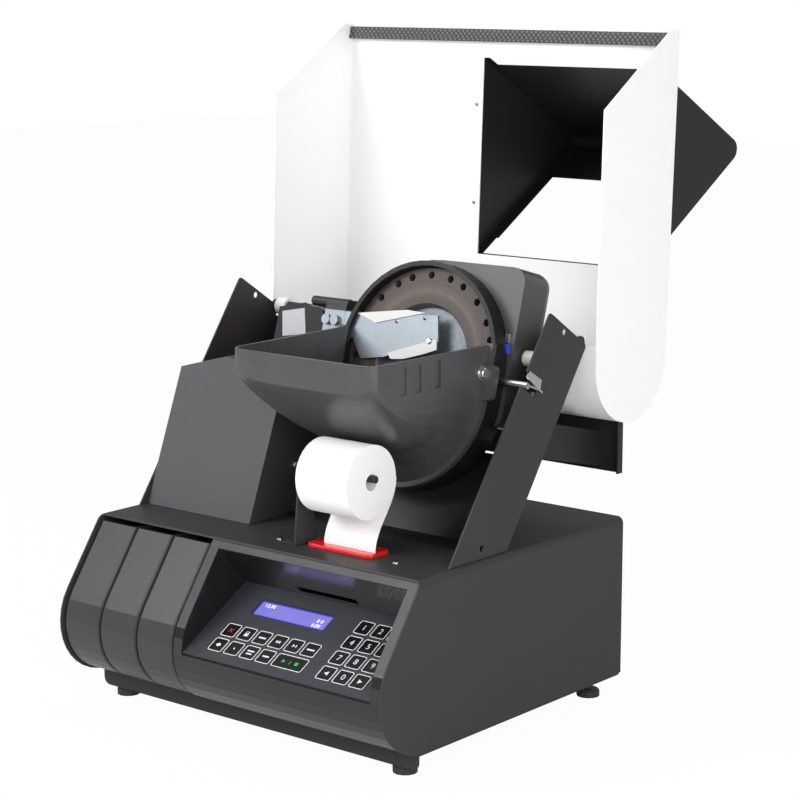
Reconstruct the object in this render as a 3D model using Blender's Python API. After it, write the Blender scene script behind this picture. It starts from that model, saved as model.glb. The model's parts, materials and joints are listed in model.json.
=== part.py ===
"""Counter-top coin counter with its cover swung open.

Frame: metres, +Z up, +X to the operator's right, +Y to the rear. The model is drawn
with y = 0 at the front edge of the hood's top and moved to its centre at the end.
"""
import math

import bmesh
import bpy
from mathutils import Matrix, Vector

mm = 0.001

# Fits
seat_gap = 0.3 * mm
run_gap = 0.6 * mm
overrun = 20 * mm
weld = 0.005 * mm
arc_steps = 6

# Base
hood_half_width = 186 * mm
hood_depth = 285 * mm
housing_span = 231 * mm
housing_left = hood_half_width - housing_span
hood_top = 166.2 * mm
hood_bottom = 22 * mm
hood_sheet = 1.5 * mm
hood_bend = 6 * mm
nose_radius = 53 * mm
nose_y = 1 * mm
front_lean = math.radians(34.9)
tray_sheet = 1.5 * mm
tray_floor_top = 21 * mm
tray_lip_bottom = 7 * mm
tray_lip_corner = 7 * mm
tray_side_height = 24 * mm
tray_front_y = -2 * mm
foot_radius = 10.5 * mm
foot_height = 6.6 * mm
foot_stem_radius = 3 * mm
foot_nut_radius = 5.5 * mm
foot_nut_height = 4 * mm
foot_inset_x = 23.5 * mm
foot_front_y = 7.5 * mm
foot_rear_inset = 17 * mm

# Coin boxes
box_count = 3
box_row_inset = 3.7 * mm
box_row_left = -hood_half_width + box_row_inset
box_row_gap = 2.4 * mm
box_row_right = housing_left - box_row_gap
box_split = 1.6 * mm
box_recess = 2 * mm
box_wall = 2 * mm
box_top_gap = 5 * mm
box_rear = 146 * mm
box_edge_round = 2.4 * mm
bay_sheet = 0.8 * mm
bay_stop_height = 90 * mm
coin_hole_front = 76 * mm
coin_hole_rear = 118 * mm
coin_hole_margin = 6 * mm

# Control housing and keypad
housing_front_inset = 1 * mm
housing_wall = 2.5 * mm
housing_rear = 68 * mm
recess_border = 10 * mm
recess_left = housing_left + recess_border
recess_margin = 11.5 * mm
recess_right = hood_half_width - recess_margin
recess_top_z = 158.5 * mm
recess_back_y = 30.6 * mm
recess_back_z = 120.7 * mm
keypad_slope = math.radians(29.8)
header_depth = 8 * mm
panel_thickness = 2 * mm
panel_lip_margin = 2 * mm
key_width = 15.4 * mm
key_height = 15.2 * mm
key_thickness = 1.2 * mm
key_proud = 0.3 * mm
key_round = 2.2 * mm
key_pitch_u = 18.05 * mm
wide_key_share = 0.5
key_pitch_v = 18 * mm
key_grid_u = 29.3 * mm
key_grid_v = 57.2 * mm
number_pitch_u = 17.9 * mm
number_pitch_v = 18.25 * mm
number_margin = 22.4 * mm
number_grid_v = 21.5 * mm
window_u = 74.2 * mm
window_v = 25.3 * mm
window_width = 82.6 * mm
window_height = 19.4 * mm
display_sunk = 1 * mm
display_board_margin = 7 * mm
display_board = 2 * mm
display_block = 6 * mm

# Printer, bezel, roll
web_y = 37.8 * mm
web_from_right = 137.4 * mm
web_left = hood_half_width - web_from_right
web_width = 56.5 * mm
web_right = web_left + web_width
web_thickness = 0.4 * mm
web_end_drop = 8 * mm
web_bend_share = 0.4
exit_beside_web = 17.6 * mm
exit_left = web_left - exit_beside_web
exit_length = 67 * mm
exit_right = exit_left + exit_length
exit_height = 5 * mm
exit_above_corner = 5 * mm
slot_side = 2.5 * mm
slot_depth = 4.5 * mm
bezel_margin_left = 11.6 * mm
bezel_margin_right = 4.9 * mm
bezel_left = web_left - bezel_margin_left
bezel_right = web_right + bezel_margin_right
bezel_front = 26 * mm
bezel_rear = 54 * mm
bezel_height = 3 * mm
bezel_corner = 7 * mm
roll_radius = 31.6 * mm
roll_bore = 7 * mm
roll_y = 33.4 * mm
roll_z = 229.3 * mm
roll_from_web = 0.4 * mm
roll_left = web_left + roll_from_web
roll_width = 56 * mm
roll_right = roll_left + roll_width
spindle_radius = 3.2 * mm
spindle_end = 5 * mm
roll_plate_gap = 19.3 * mm
roll_plate_left = roll_left - roll_plate_gap
roll_plate = 2 * mm
roll_plate_half = 13 * mm
roll_foot = 15 * mm
roll_nut_radius = 5 * mm
roll_nut = 5 * mm
printer_beside_web = 18.6 * mm
printer_left = web_left - printer_beside_web
printer_width = 88 * mm
printer_right = printer_left + printer_width
printer_bottom = 130 * mm
printer_rear = 64 * mm

# Parts inside and behind the base
supply_width = 96 * mm
supply_depth = 70 * mm
supply_height = 34 * mm
supply_from_right = 166 * mm
supply_left = hood_half_width - supply_from_right
supply_rear_gap = 40 * mm
supply_post = 5 * mm
inlet_from_left = 66 * mm
inlet_x = inlet_from_left - hood_half_width
inlet_z = 62 * mm
inlet_width = 27 * mm
inlet_height = 47 * mm
inlet_flange = 4 * mm
inlet_flange_thickness = 2 * mm
inlet_depth = 28 * mm
rocker_width = 20 * mm
rocker_height = 12 * mm
rocker_depth = 7 * mm
rocker_tilt = math.radians(6)
socket_width = 20 * mm
socket_height = 18 * mm
socket_depth = 14 * mm

# Deck: chute cover, side plates, cross panel
plate_sheet = 1.6 * mm
plate_inset = 7.3 * mm
plate_x = hood_half_width - plate_inset
disc_from_plate = 120.3 * mm
disc_x = plate_x - disc_from_plate
plate_front_y = 42.4 * mm
plate_rear_y = 119.9 * mm
plate_lean = math.radians(34.85)
plate_front_length = 238 * mm
plate_rear_length = 195.8 * mm
plate_hole_radius = 3 * mm
plate_hole_edge = 5 * mm
plate_hole_share = 0.44
plate_hole_low = 31.8 * mm
plate_hole_across = 30.3 * mm
plate_corner = 3 * mm
notch_along = 168 * mm
notch_length = 14 * mm
notch_depth = 22 * mm
panel_length = 187 * mm
notch_left_of_disc = 98.4 * mm
notch_right_of_disc = 95.2 * mm
panel_notch_left = disc_x - notch_left_of_disc
panel_notch_right = disc_x + notch_right_of_disc
panel_notch_start = 84 * mm
panel_foot = 20 * mm
chute_from_plate = 0.7 * mm
chute_left = chute_from_plate - plate_x
chute_to_notch = 11 * mm
chute_right = panel_notch_left - chute_to_notch
chute_front_y = 51 * mm
chute_lean = math.radians(21)
chute_sheet = 1.6 * mm
chute_height_left = 121 * mm
chute_height_peak = 135 * mm
chute_height_right = 118 * mm
chute_peak_along = 53 * mm
chute_peak_x = chute_left + chute_peak_along
chute_lip = 22 * mm
chute_roof_reach = 260 * mm
hinge_y = 226 * mm
hinge_z = 329.7 * mm
tube_radius = 5 * mm
tube_cap_radius = 6 * mm
tube_cap = 2 * mm
stop_y = 283.4 * mm
stop_inset = 2 * mm
stop_half_width = hood_half_width - stop_inset
stop_bottom = 206 * mm
stop_under_cover = 0.6 * mm
stop_arm_inset = 18.7 * mm
stop_arm_x = plate_x - stop_arm_inset
stop_arm_rise = math.tan(math.radians(13.6))
stop_arm_height = 32 * mm
stop_arm_low = 3 * mm
stop_return = 6 * mm

# Disc unit, in a frame tilted back about X through the disc's centre
disc_y = 155 * mm
disc_z = 311.2 * mm
disc_tilt = math.radians(15.5)
disc_radius = 81.5 * mm
disc_thickness = 11 * mm
disc_inner = 49.3 * mm
disc_sunk = 8 * mm
disc_hole_circle = 75 * mm
disc_hole_radius = 3.5 * mm
disc_groups = 8
disc_group_angles = [math.radians(a) for a in (-3, 13.6, 25.8)]
shaft_radius = 5 * mm
shaft_length = 15 * mm
can_radius = 86.5 * mm
can_wall = 4.2 * mm
can_drop = 27 * mm
can_front = 9 * mm
can_rear = 14.5 * mm
can_back = 2.7 * mm
body_front = 8 * mm
body_rear = 52 * mm
body_top = 90 * mm
body_right = 91 * mm
body_bottom = 48 * mm
body_corner = 14 * mm
body_left_radius = 90 * mm
body_edge = 10 * mm
body_wall = 3 * mm
bracket_low = 209 * mm
bracket_half_width = 40 * mm
motor_radius = 16 * mm
motor_length = 19 * mm
gearbox_radius = 20 * mm
gearbox_length = 10 * mm

# Feed bowl
bowl_rim = 334 * mm
bowl_radius = 82 * mm
bowl_half_width = 79 * mm
bowl_front_y = -4 * mm
bowl_corner = 14 * mm
bowl_wall = 2.5 * mm
bowl_station_shares = [0, 0.03, 0.215, 0.494, 0.735, 1]
bowl_depth_shares = [0.12, 0.22, 0.428, 0.646, 0.767, 1]
bowl_curve_shares = [0.7, 0.6, 0.56, 0.62, 0.66, 0.638]
bowl_powers = [3, 4, 4, 3.2, 2.6, 2]
bowl_blend_shares = [0.03, 0.06, 0.1, 0.16, 0.24, 0.34, 0.45, 0.57, 0.7, 0.85, 1]
flange_front = 15 * mm
flange_back = 9.3 * mm
flange_radius = 86 * mm
flange_top = 21 * mm
ear_out = 95 * mm
ear_in = 78 * mm
ear_top = 3 * mm
ear_bottom = -27 * mm
ear_proud = 2 * mm
ear_corner = 5 * mm
groove_width = 8 * mm
groove_depth = 0.8 * mm
groove_ys = [35 * mm, 54 * mm, 79 * mm]
groove_top = 329 * mm
groove_bottom = 306 * mm

# Sorting parts left of the disc, in the disc unit's frame
knife_front = 4.3 * mm
knife_thickness = 2 * mm
knife_top_left = (-74 * mm, 34 * mm)
knife_top_right = (14 * mm, 40 * mm)
knife_low_right = (19 * mm, 17 * mm)
knife_low_middle = (-39 * mm, -2 * mm)
knife_low_left = (-64 * mm, -6 * mm)
knife_heel = (-77 * mm, 11 * mm)
knife_end = -90 * mm
knife_slot_margin = 3 * mm
rail_length = 24 * mm
wheel_radius = 4.6 * mm
wheel_thickness = 4 * mm
sensor_left = -172 * mm
sensor_right = -105 * mm
sensor_bottom = 0 * mm
sensor_shoulder = 31 * mm
sensor_top = 37.5 * mm
sensor_top_x = -142 * mm
sensor_depth = 22 * mm
sensor_round = 22 * mm
solenoid_radius = 4.5 * mm
solenoid_left = -134 * mm

# Latch at the right side plate
latch_rod_radius = 3.25 * mm
latch_rod_y = 150 * mm
latch_rod_z = 303 * mm
tongue_inside = 18.7 * mm
tongue_outside = 8.3 * mm
tongue_in = plate_x - tongue_inside
tongue_out = plate_x + tongue_outside
tongue_width = 11 * mm
tongue_sheet = 1.6 * mm

# Cover, drawn open
cover_overhang = 3.7 * mm
cover_half_width = hood_half_width + cover_overhang
cover_sheet = 1.2 * mm
cover_lean = math.radians(2.6)
cover_front_lean = math.radians(2)
cover_top = 593.6 * mm
wrap_radius = 54.5 * mm
wrap_y = 287.2 * mm
wrap_z = 307.1 * mm
wrap_lip_top = 334 * mm
lip_relief_depth = 8 * mm
cheek_shoulder_z = 528.7 * mm
cheek_chamfer_y = 340.4 * mm
knuckle_radius = 8 * mm
knuckle_width = 12 * mm
knuckle_x = plate_x - knuckle_width
window_left_of_disc = 84.1 * mm
window_right_of_disc = 88.4 * mm
window_left = disc_x - window_left_of_disc
window_right = disc_x + window_right_of_disc
window_bottom = 380 * mm
window_top = 564.6 * mm
hopper_tip_y = 520 * mm
hopper_tip_z = 479 * mm
hopper_tip_radius = 10 * mm
hopper_low_z = 374.6 * mm
hopper_high_z = 568.6 * mm
hopper_side = 10 * mm
hopper_sheet = 1.5 * mm
mouth_side = 12 * mm
mouth_start_share = 0.095
mouth_end_share = 0.67
trim_drop = 2.6 * mm
trim_height = 11.5 * mm
trim_depth = 4.5 * mm
trim_lip_height = 3.6 * mm
trim_lip_depth = 6 * mm
trim_corner = 1.4 * mm


# Modelling helpers

def material(name, colour, roughness, metallic):
    """A Principled material of one colour."""
    made = bpy.data.materials.new(name)
    made.use_nodes = True
    shader = made.node_tree.nodes["Principled BSDF"]
    shader.inputs["Base Color"].default_value = (*colour, 1)
    shader.inputs["Roughness"].default_value = roughness
    shader.inputs["Metallic"].default_value = metallic
    return made


def place(u, v, w, axis):
    """A point from outline values u, v and the value w along the sweep's axis."""
    return {"X": (w, u, v), "Y": (u, w, v), "Z": (u, v, w)}[axis]


def prism(outline, start, end, axis="X"):
    """A closed straight sweep of a 2D outline."""
    shape = bmesh.new()
    ring = [shape.verts.new(place(u, v, start, axis)) for u, v in outline]
    face = shape.faces.new(ring)
    swept = bmesh.ops.extrude_face_region(shape, geom=[face])
    moved = [v for v in swept["geom"] if isinstance(v, bmesh.types.BMVert)]
    step = Vector(place(0, 0, end - start, axis))
    bmesh.ops.translate(shape, verts=moved, vec=step)
    bmesh.ops.recalc_face_normals(shape, faces=shape.faces)
    return shape


def block(low, high):
    """A box between two opposite corners."""
    outline = [(low[0], low[1]), (high[0], low[1]), (high[0], high[1]), (low[0], high[1])]
    return prism(outline, low[2], high[2], "Z")


def turned(profile, steps, centre=(0, 0, 0), axis="X"):
    """A closed turned solid: profile points are (distance along the axis, radius)."""
    shape = bmesh.new()
    along = Vector(place(0, 0, 1, axis))
    across = Vector(place(1, 0, 0, axis))
    points = [Vector(centre) + along * a + across * r for a, r in profile]
    verts = [shape.verts.new(p) for p in points]
    edges = [shape.edges.new(pair) for pair in zip(verts, verts[1:] + verts[:1])
             if max((v.co - Vector(centre)).cross(along).length for v in pair) > weld]
    bmesh.ops.spin(shape, geom=verts + edges, cent=centre, axis=along, angle=math.tau,
                   steps=steps, use_merge=True)
    bmesh.ops.remove_doubles(shape, verts=shape.verts, dist=weld)
    loose = [v for v in shape.verts if not v.link_faces]
    bmesh.ops.delete(shape, geom=loose, context="VERTS")
    bmesh.ops.recalc_face_normals(shape, faces=shape.faces)
    return shape


def rod(start, end, radius, steps, centre=(0, 0), axis="X"):
    """A plain cylinder along one axis."""
    profile = [(start, 0), (start, radius), (end, radius), (end, 0)]
    return turned(profile, steps, place(centre[0], centre[1], 0, axis), axis)


def loft(rings):
    """A closed solid through rings of as many points each."""
    shape = bmesh.new()
    rows = [[shape.verts.new(p) for p in ring] for ring in rings]
    for row, after in zip(rows, rows[1:]):
        for i in range(len(row)):
            j = (i + 1) % len(row)
            shape.faces.new((row[i], row[j], after[j], after[i]))
    shape.faces.new(rows[0])
    shape.faces.new(rows[-1])
    bmesh.ops.recalc_face_normals(shape, faces=shape.faces)
    return shape


def arc(centre, radius, start, end, steps):
    """Points along an arc, both ends included; angles in degrees."""
    return [(centre[0] + radius * math.cos(math.radians(start + (end - start) * i / steps)),
             centre[1] + radius * math.sin(math.radians(start + (end - start) * i / steps)))
            for i in range(steps + 1)]


def filleted(corners, steps=arc_steps):
    """An outline through corners (u, v, radius), each with its tangent arc."""
    outline = []
    count = len(corners)
    for i, (u, v, radius) in enumerate(corners):
        here = Vector((u, v))
        if radius <= 0:
            outline.append((u, v))
            continue
        before = (Vector(corners[i - 1][:2]) - here).normalized()
        after = (Vector(corners[(i + 1) % count][:2]) - here).normalized()
        half = before.angle(after) / 2
        middle = here + (before + after).normalized() * radius / math.sin(half)
        first = here + before * radius / math.tan(half) - middle
        last = here + after * radius / math.tan(half) - middle
        turn = first.angle_signed(last)
        for k in range(steps + 1):
            spoke = first.copy()
            spoke.rotate(Matrix.Rotation(-turn * k / steps, 2))
            outline.append(tuple(middle + spoke))
    return outline


def mesh_object(name, shape, matrix=None):
    """A new object that holds one bmesh."""
    mesh = bpy.data.meshes.new(name)
    shape.to_mesh(mesh)
    shape.free()
    made = bpy.data.objects.new(name, mesh)
    bpy.context.collection.objects.link(made)
    if matrix is not None:
        mesh.transform(matrix)
    return made


def combine(name, first, changes, matrix=None):
    """One solid: a first shape, then (operation, shape) pairs in order."""
    made = mesh_object(name, first)
    for operation, shape in changes:
        tool = mesh_object("tool", shape)
        change = made.modifiers.new(operation.title(), "BOOLEAN")
        change.operation = operation
        change.object = tool
        change.solver = "EXACT"
        bpy.context.view_layer.update()
        result = made.evaluated_get(bpy.context.evaluated_depsgraph_get())
        mesh = bpy.data.meshes.new_from_object(result)
        made.modifiers.clear()
        spent = made.data
        made.data = mesh
        bpy.data.meshes.remove(spent)
        bpy.data.meshes.remove(tool.data)
    shape = bmesh.new()
    shape.from_mesh(made.data)
    bmesh.ops.remove_doubles(shape, verts=shape.verts, dist=weld)
    bmesh.ops.dissolve_degenerate(shape, edges=shape.edges, dist=weld)
    loose = [edge for edge in shape.edges if not edge.link_faces]
    bmesh.ops.delete(shape, geom=loose, context="EDGES")
    shape.to_mesh(made.data)
    shape.free()
    if matrix is not None:
        made.data.transform(matrix)
    made.data.name = name
    return made


def finish(made, look, pivot=(0, 0, 0), matrix=None):
    """Material, smooth round faces, and the origin at the pivot or in a tilted frame."""
    made.data.materials.clear()
    made.data.materials.append(look)
    made.data.shade_smooth()
    made.data.set_sharp_from_angle(angle=math.radians(32))
    if matrix is not None:
        made.matrix_world = matrix
    else:
        made.data.transform(Matrix.Translation(-Vector(pivot)))
        made.location = pivot
    return made


def joined(shapes):
    """Several separate shapes in one bmesh."""
    group = bmesh.new()
    for shape in shapes:
        mesh = bpy.data.meshes.new("part")
        shape.to_mesh(mesh)
        shape.free()
        group.from_mesh(mesh)
        bpy.data.meshes.remove(mesh)
    return group


# Outlines that several pieces share

nose_z = hood_bottom + nose_radius
slant_out = 180 - math.degrees(front_lean)


def slant_y(z, inset=0.0):
    """The front slant's y at height z, for an outline drawn in by the inset."""
    radius = nose_radius - inset
    touch_y = nose_y - radius * math.cos(front_lean)
    touch_z = nose_z + radius * math.sin(front_lean)
    return touch_y + (z - touch_z) * math.tan(front_lean)


def front_curve(inset, top, start=None):
    """Front outline from the top of the slant down round the nose to its underside."""
    radius = nose_radius - inset
    first = slant_out if start is None else start
    curve = arc((nose_y, nose_z), radius, first, 270, 2 * arc_steps)
    if start is None:
        curve = [(slant_y(top, inset), top)] + curve
    return curve


def side_outline(inset, top, rear):
    """Closed side outline of the base, with its curved front."""
    curve = front_curve(inset, top)
    return curve + [(rear, curve[-1][1]), (rear, top)]


def tilted(origin, angle):
    """A frame at a point, turned back about X."""
    return Matrix.Translation(origin) @ Matrix.Rotation(-angle, 4, "X")


unit_frame = tilted((disc_x, disc_y, disc_z), disc_tilt)
keypad_frame = tilted((recess_left, recess_back_y, recess_back_z), -keypad_slope)


# Base

def base_hood():
    """Bent steel hood: a top and two sides, with coin holes and the paper slot."""
    outer = filleted([(-hood_half_width, hood_bottom, 0), (hood_half_width, hood_bottom, 0),
                      (hood_half_width, hood_top, hood_bend),
                      (-hood_half_width, hood_top, hood_bend)])
    inner_half = hood_half_width - hood_sheet
    inner_top = hood_top - hood_sheet
    inner_bend = hood_bend - hood_sheet
    inner = filleted([(-inner_half, hood_bottom - overrun, 0),
                      (inner_half, hood_bottom - overrun, 0),
                      (inner_half, inner_top, inner_bend), (-inner_half, inner_top, inner_bend)])
    front = -nose_radius - overrun
    curve = front_curve(0, hood_top + overrun)
    ahead = [(curve[-1][0], hood_bottom - overrun), (front, hood_bottom - overrun),
             (front, hood_top + overrun)]
    changes = [("DIFFERENCE", prism(inner, front, hood_depth + overrun, "Y")),
               ("DIFFERENCE", prism(curve + ahead, -hood_half_width - overrun,
                                    hood_half_width + overrun))]
    slot = block((web_left - slot_side, web_y - slot_depth / 2, hood_top - overrun),
                 (web_right + slot_side, web_y + slot_depth / 2, hood_top + overrun))
    changes.append(("DIFFERENCE", slot))
    for left, right in box_spans():
        hole = block((left + coin_hole_margin, coin_hole_front, inner_top - hood_sheet),
                     (right - coin_hole_margin, coin_hole_rear, hood_top + overrun))
        changes.append(("DIFFERENCE", hole))
    return combine("base_hood", prism(outer, front, hood_depth, "Y"), changes)


def box_spans():
    """Left and right edge of each coin box."""
    pitch = (box_row_right - box_row_left + box_split) / box_count
    return [(box_row_left + i * pitch, box_row_left + (i + 1) * pitch - box_split)
            for i in range(box_count)]


def foot_places():
    """Centres of the four feet."""
    x = hood_half_width - foot_inset_x
    return [(side * x, y) for side in (-1, 1)
            for y in (foot_front_y, hood_depth - foot_rear_inset)]


def levelling_foot(x, y):
    """Round pad on a threaded stem with a jam nut, screwed up into the base plate."""
    plate_low = tray_floor_top - tray_sheet
    nut_low = plate_low - foot_nut_height
    pad_edge = foot_height - (foot_radius - foot_stem_radius) / 5
    profile = [(0, 0), (0, foot_radius), (pad_edge, foot_radius),
               (foot_height, foot_radius - foot_height / 4), (foot_height, foot_stem_radius),
               (nut_low, foot_stem_radius), (nut_low, foot_nut_radius),
               (plate_low + tray_sheet / 2, foot_nut_radius), (plate_low + tray_sheet / 2, 0)]
    return turned(profile, 12, (x, y, 0), "Z")


def base_tray():
    """Base plate with a front lip turned down, low sides, a rear wall and four feet."""
    half = hood_half_width - hood_sheet - seat_gap
    floor_low = tray_floor_top - tray_sheet
    rear = hood_depth - seat_gap
    floor = block((-half, tray_front_y, floor_low), (half, rear, tray_floor_top))
    lip = filleted([(-half, tray_lip_bottom, tray_lip_corner),
                    (half, tray_lip_bottom, tray_lip_corner), (half, tray_floor_top, 0),
                    (-half, tray_floor_top, 0)])
    side_front = housing_rear + seat_gap
    changes = [("UNION", prism(lip, tray_front_y, tray_front_y + tray_sheet, "Y"))]
    for side in (-1, 1):
        wall = sorted((side * half, side * (half - tray_sheet)))
        changes.append(("UNION", block((wall[0], side_front, floor_low),
                                       (wall[1], rear, tray_floor_top + tray_side_height))))
    back = block((-half, rear - tray_sheet, floor_low),
                 (half, rear, hood_top - hood_sheet - hood_bend))
    changes.append(("UNION", back))
    inlet = block((inlet_x - inlet_width / 2 - seat_gap, rear - overrun,
                   inlet_z - inlet_height / 2 - seat_gap),
                  (inlet_x + inlet_width / 2 + seat_gap, rear + overrun,
                   inlet_z + inlet_height / 2 + seat_gap))
    changes.append(("DIFFERENCE", inlet))
    for x, y in foot_places():
        changes.append(("UNION", levelling_foot(x, y)))
    return combine("base_tray", floor, changes)


def coin_box(index):
    """Pull-out coin box with a curved front and an open top."""
    left, right = box_spans()[index]
    top = hood_top - hood_sheet - box_top_gap
    outer = prism(side_outline(box_recess, top, box_rear), left, right)
    ends = [e for e in outer.edges
            if abs(e.verts[0].co.x - e.verts[1].co.x) < seat_gap
            and max(v.co.y for v in e.verts) < nose_y + seat_gap]
    bmesh.ops.bevel(outer, geom=ends, offset=box_edge_round, segments=2, profile=0.5,
                    affect="EDGES")
    inner = side_outline(box_recess + box_wall, top + overrun, box_rear - box_wall)
    hollow = prism(inner, left + box_wall, right - box_wall)
    return combine(f"coin_box_{index + 1}", outer, [("DIFFERENCE", hollow)])


def coin_bay_frame():
    """Floor, thin dividers and back stop that the coin boxes slide in."""
    spans = box_spans()
    left = -hood_half_width + hood_sheet + tray_sheet + 2 * seat_gap
    right = housing_left - seat_gap
    front = nose_y + hood_bend
    low = tray_floor_top + seat_gap
    floor_top = nose_z - (nose_radius - box_recess) - seat_gap
    stop_front = box_rear + seat_gap
    stop_rear = stop_front + box_wall
    floor = block((left, front, low), (right, stop_rear, floor_top))
    stop = block((left, stop_front, low),
                 (right, stop_rear, floor_top + bay_stop_height))
    changes = [("UNION", stop)]
    for span in spans[1:]:
        middle = span[0] - box_split / 2
        wall = block((middle - bay_sheet / 2, front, low),
                     (middle + bay_sheet / 2, stop_rear, floor_top + bay_stop_height))
        changes.append(("UNION", wall))
    return combine("coin_bay_frame", floor, changes)


# Control housing

def meet(point, direction, other, heading):
    """Where two lines of the side view cross."""
    gap = Vector(other) - Vector(point)
    across = direction[0] * heading[1] - direction[1] * heading[0]
    along = (gap[0] * heading[1] - gap[1] * heading[0]) / across
    return (point[0] + direction[0] * along, point[1] + direction[1] * along)


def keypad_edge(inset, drop):
    """Where the keypad plane, lowered by the drop, meets the nose drawn in by the inset."""
    radius = nose_radius - inset
    up = Vector((-math.sin(keypad_slope), math.cos(keypad_slope)))
    along = Vector((math.cos(keypad_slope), math.sin(keypad_slope)))
    centre = Vector((nose_y, nose_z))
    height = (Vector((recess_back_y, recess_back_z)) - centre).dot(up) - drop
    return centre + up * height - along * math.sqrt(radius ** 2 - height ** 2)


def recess_points():
    """Top edge, back corner and front lip of the keypad recess."""
    top = Vector((slant_y(recess_top_z, housing_front_inset), recess_top_z))
    back = Vector((recess_back_y, recess_back_z))
    return top, back, keypad_edge(housing_front_inset, 0)


def housing_cavity():
    """Side outline of the housing's hollow, one wall behind its visible faces."""
    top, back, lip = recess_points()
    wall = (top - back).normalized()
    behind = back + Vector((wall[1], -wall[0])) * housing_wall
    plane = Vector((math.cos(keypad_slope), math.sin(keypad_slope)))
    under = back + Vector((plane[1], -plane[0])) * housing_wall
    corner = meet(behind, wall, under, plane)
    header_y = top[0] + header_depth
    head = meet(behind, wall, (header_y, 0), (0, 1))
    inset = housing_front_inset + housing_wall
    edge = keypad_edge(inset, housing_wall)
    start = math.degrees(math.atan2(edge[1] - nose_z, edge[0] - nose_y)) % 360
    nose = arc((nose_y, nose_z), nose_radius - inset, start, 270, 2 * arc_steps)
    high = hood_top + overrun
    rear = housing_rear + overrun
    return [(header_y, high), head, corner] + nose + [(rear, nose[-1][1]), (rear, high)]


def keypad_length():
    """Length of the keypad plane from the back corner to the lip."""
    top, back, lip = recess_points()
    return (back - lip).length


def rounded_plate(middle, size, corner, low, high):
    """A plate with rounded corners, in the keypad's own frame."""
    half_u = size[0] / 2
    half_v = size[1] / 2
    corners = [(middle[0] - half_u, middle[1] - half_v, corner),
               (middle[0] + half_u, middle[1] - half_v, corner),
               (middle[0] + half_u, middle[1] + half_v, corner),
               (middle[0] - half_u, middle[1] + half_v, corner)]
    return prism(filleted(corners, 3), low, high, "Z")


def control_housing():
    """Moulded front housing: a curved shell with the slanted keypad recess."""
    right = hood_half_width - hood_sheet - seat_gap
    top_z = hood_top - hood_sheet - seat_gap
    body = prism(side_outline(housing_front_inset, top_z, housing_rear), housing_left, right)
    top, back, lip = recess_points()
    out = Vector((-math.cos(front_lean), math.sin(front_lean))) * overrun
    plane = Vector((math.cos(keypad_slope), math.sin(keypad_slope))) * overrun
    recess = prism([tuple(top), tuple(back), tuple(lip - plane), tuple(top + out)],
                   recess_left, recess_right)
    hollow = prism(housing_cavity(), housing_left + housing_wall, right - housing_wall)
    window = rounded_plate((window_u, -window_v), (window_width, window_height), seat_gap,
                           -overrun / 2, overrun / 2)
    window.transform(keypad_frame)
    slot_low = recess_back_z + exit_above_corner
    slot = block((exit_left, recess_back_y - overrun / 2, slot_low),
                 (exit_right, recess_back_y + overrun / 2, slot_low + exit_height))
    bend = hood_bend - hood_sheet
    corner = arc((right - bend, top_z - bend), bend, 0, 90, arc_steps)
    corner += [(right - bend, top_z + overrun), (right + overrun, top_z + overrun),
               (right + overrun, top_z - bend)]
    rounding = prism(corner, -nose_radius - overrun, housing_rear + overrun, "Y")
    changes = [("DIFFERENCE", rounding), ("DIFFERENCE", recess), ("DIFFERENCE", hollow),
               ("DIFFERENCE", window), ("DIFFERENCE", slot)]
    return combine("control_housing", body, changes)


def key_table():
    """Name, centre and width of every key, in the keypad's own frame."""
    upper = ["cancel", "lock", "print", "batch", "step", "enter"]
    lower = ["mode", "dot", "paper", "report"]
    row_v = -key_grid_v - key_pitch_v
    keys = [(name, key_grid_u + i * key_pitch_u, -key_grid_v, key_width)
            for i, name in enumerate(upper)]
    keys += [(name, key_grid_u + i * key_pitch_u, row_v, key_width)
             for i, name in enumerate(lower)]
    wide_u = key_grid_u + (len(lower) + wide_key_share) * key_pitch_u
    keys.append(("start", wide_u, row_v, key_width + key_pitch_u))
    numbers = ["1", "2", "3", "4", "5", "6", "7", "8", "9", "left", "0", "right"]
    first_u = recess_right - recess_left - number_margin - 2 * number_pitch_u
    keys += [(name, first_u + (i % 3) * number_pitch_u,
              -number_grid_v - (i // 3) * number_pitch_v, key_width)
             for i, name in enumerate(numbers)]
    return keys


def keypad_panel():
    """Panel in the recess, with the display window and a hole for each key."""
    length = keypad_length()
    width = recess_right - recess_left
    low_v = panel_lip_margin - length
    panel = rounded_plate((width / 2, (low_v - run_gap) / 2), (width - run_gap, -run_gap - low_v),
                          seat_gap, seat_gap, seat_gap + panel_thickness)
    holes = [rounded_plate((u, v), (wide + run_gap, key_height + run_gap), key_round,
                           -overrun, overrun) for name, u, v, wide in key_table()]
    window = rounded_plate((window_u, -window_v), (window_width, window_height), seat_gap,
                           -overrun, overrun)
    return combine("keypad_panel", panel, [("DIFFERENCE", joined(holes + [window]))])


def key(name, u, v, wide):
    """One key, its top just proud of the panel."""
    top = seat_gap + panel_thickness + key_proud
    shape = rounded_plate((0, 0), (wide, key_height), key_round, -key_thickness, 0)
    made = mesh_object(f"key_{name}", shape)
    return made, keypad_frame @ Matrix.Translation((u, v, top))


def display_module():
    """Display block that stands in the window, on its circuit board."""
    board_top = -housing_wall - seat_gap
    face = seat_gap + panel_thickness - display_sunk
    block_size = (window_width - run_gap, window_height - run_gap)
    board_size = (window_width + 2 * display_board_margin,
                  window_height + 2 * display_board_margin)
    shape = rounded_plate((window_u, -window_v), block_size, seat_gap / 2,
                          board_top - display_board, face)
    board = rounded_plate((window_u, -window_v), board_size, seat_gap,
                          board_top - display_board, board_top)
    return combine("display_module", shape, [("UNION", board)])


# Printer and paper

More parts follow.
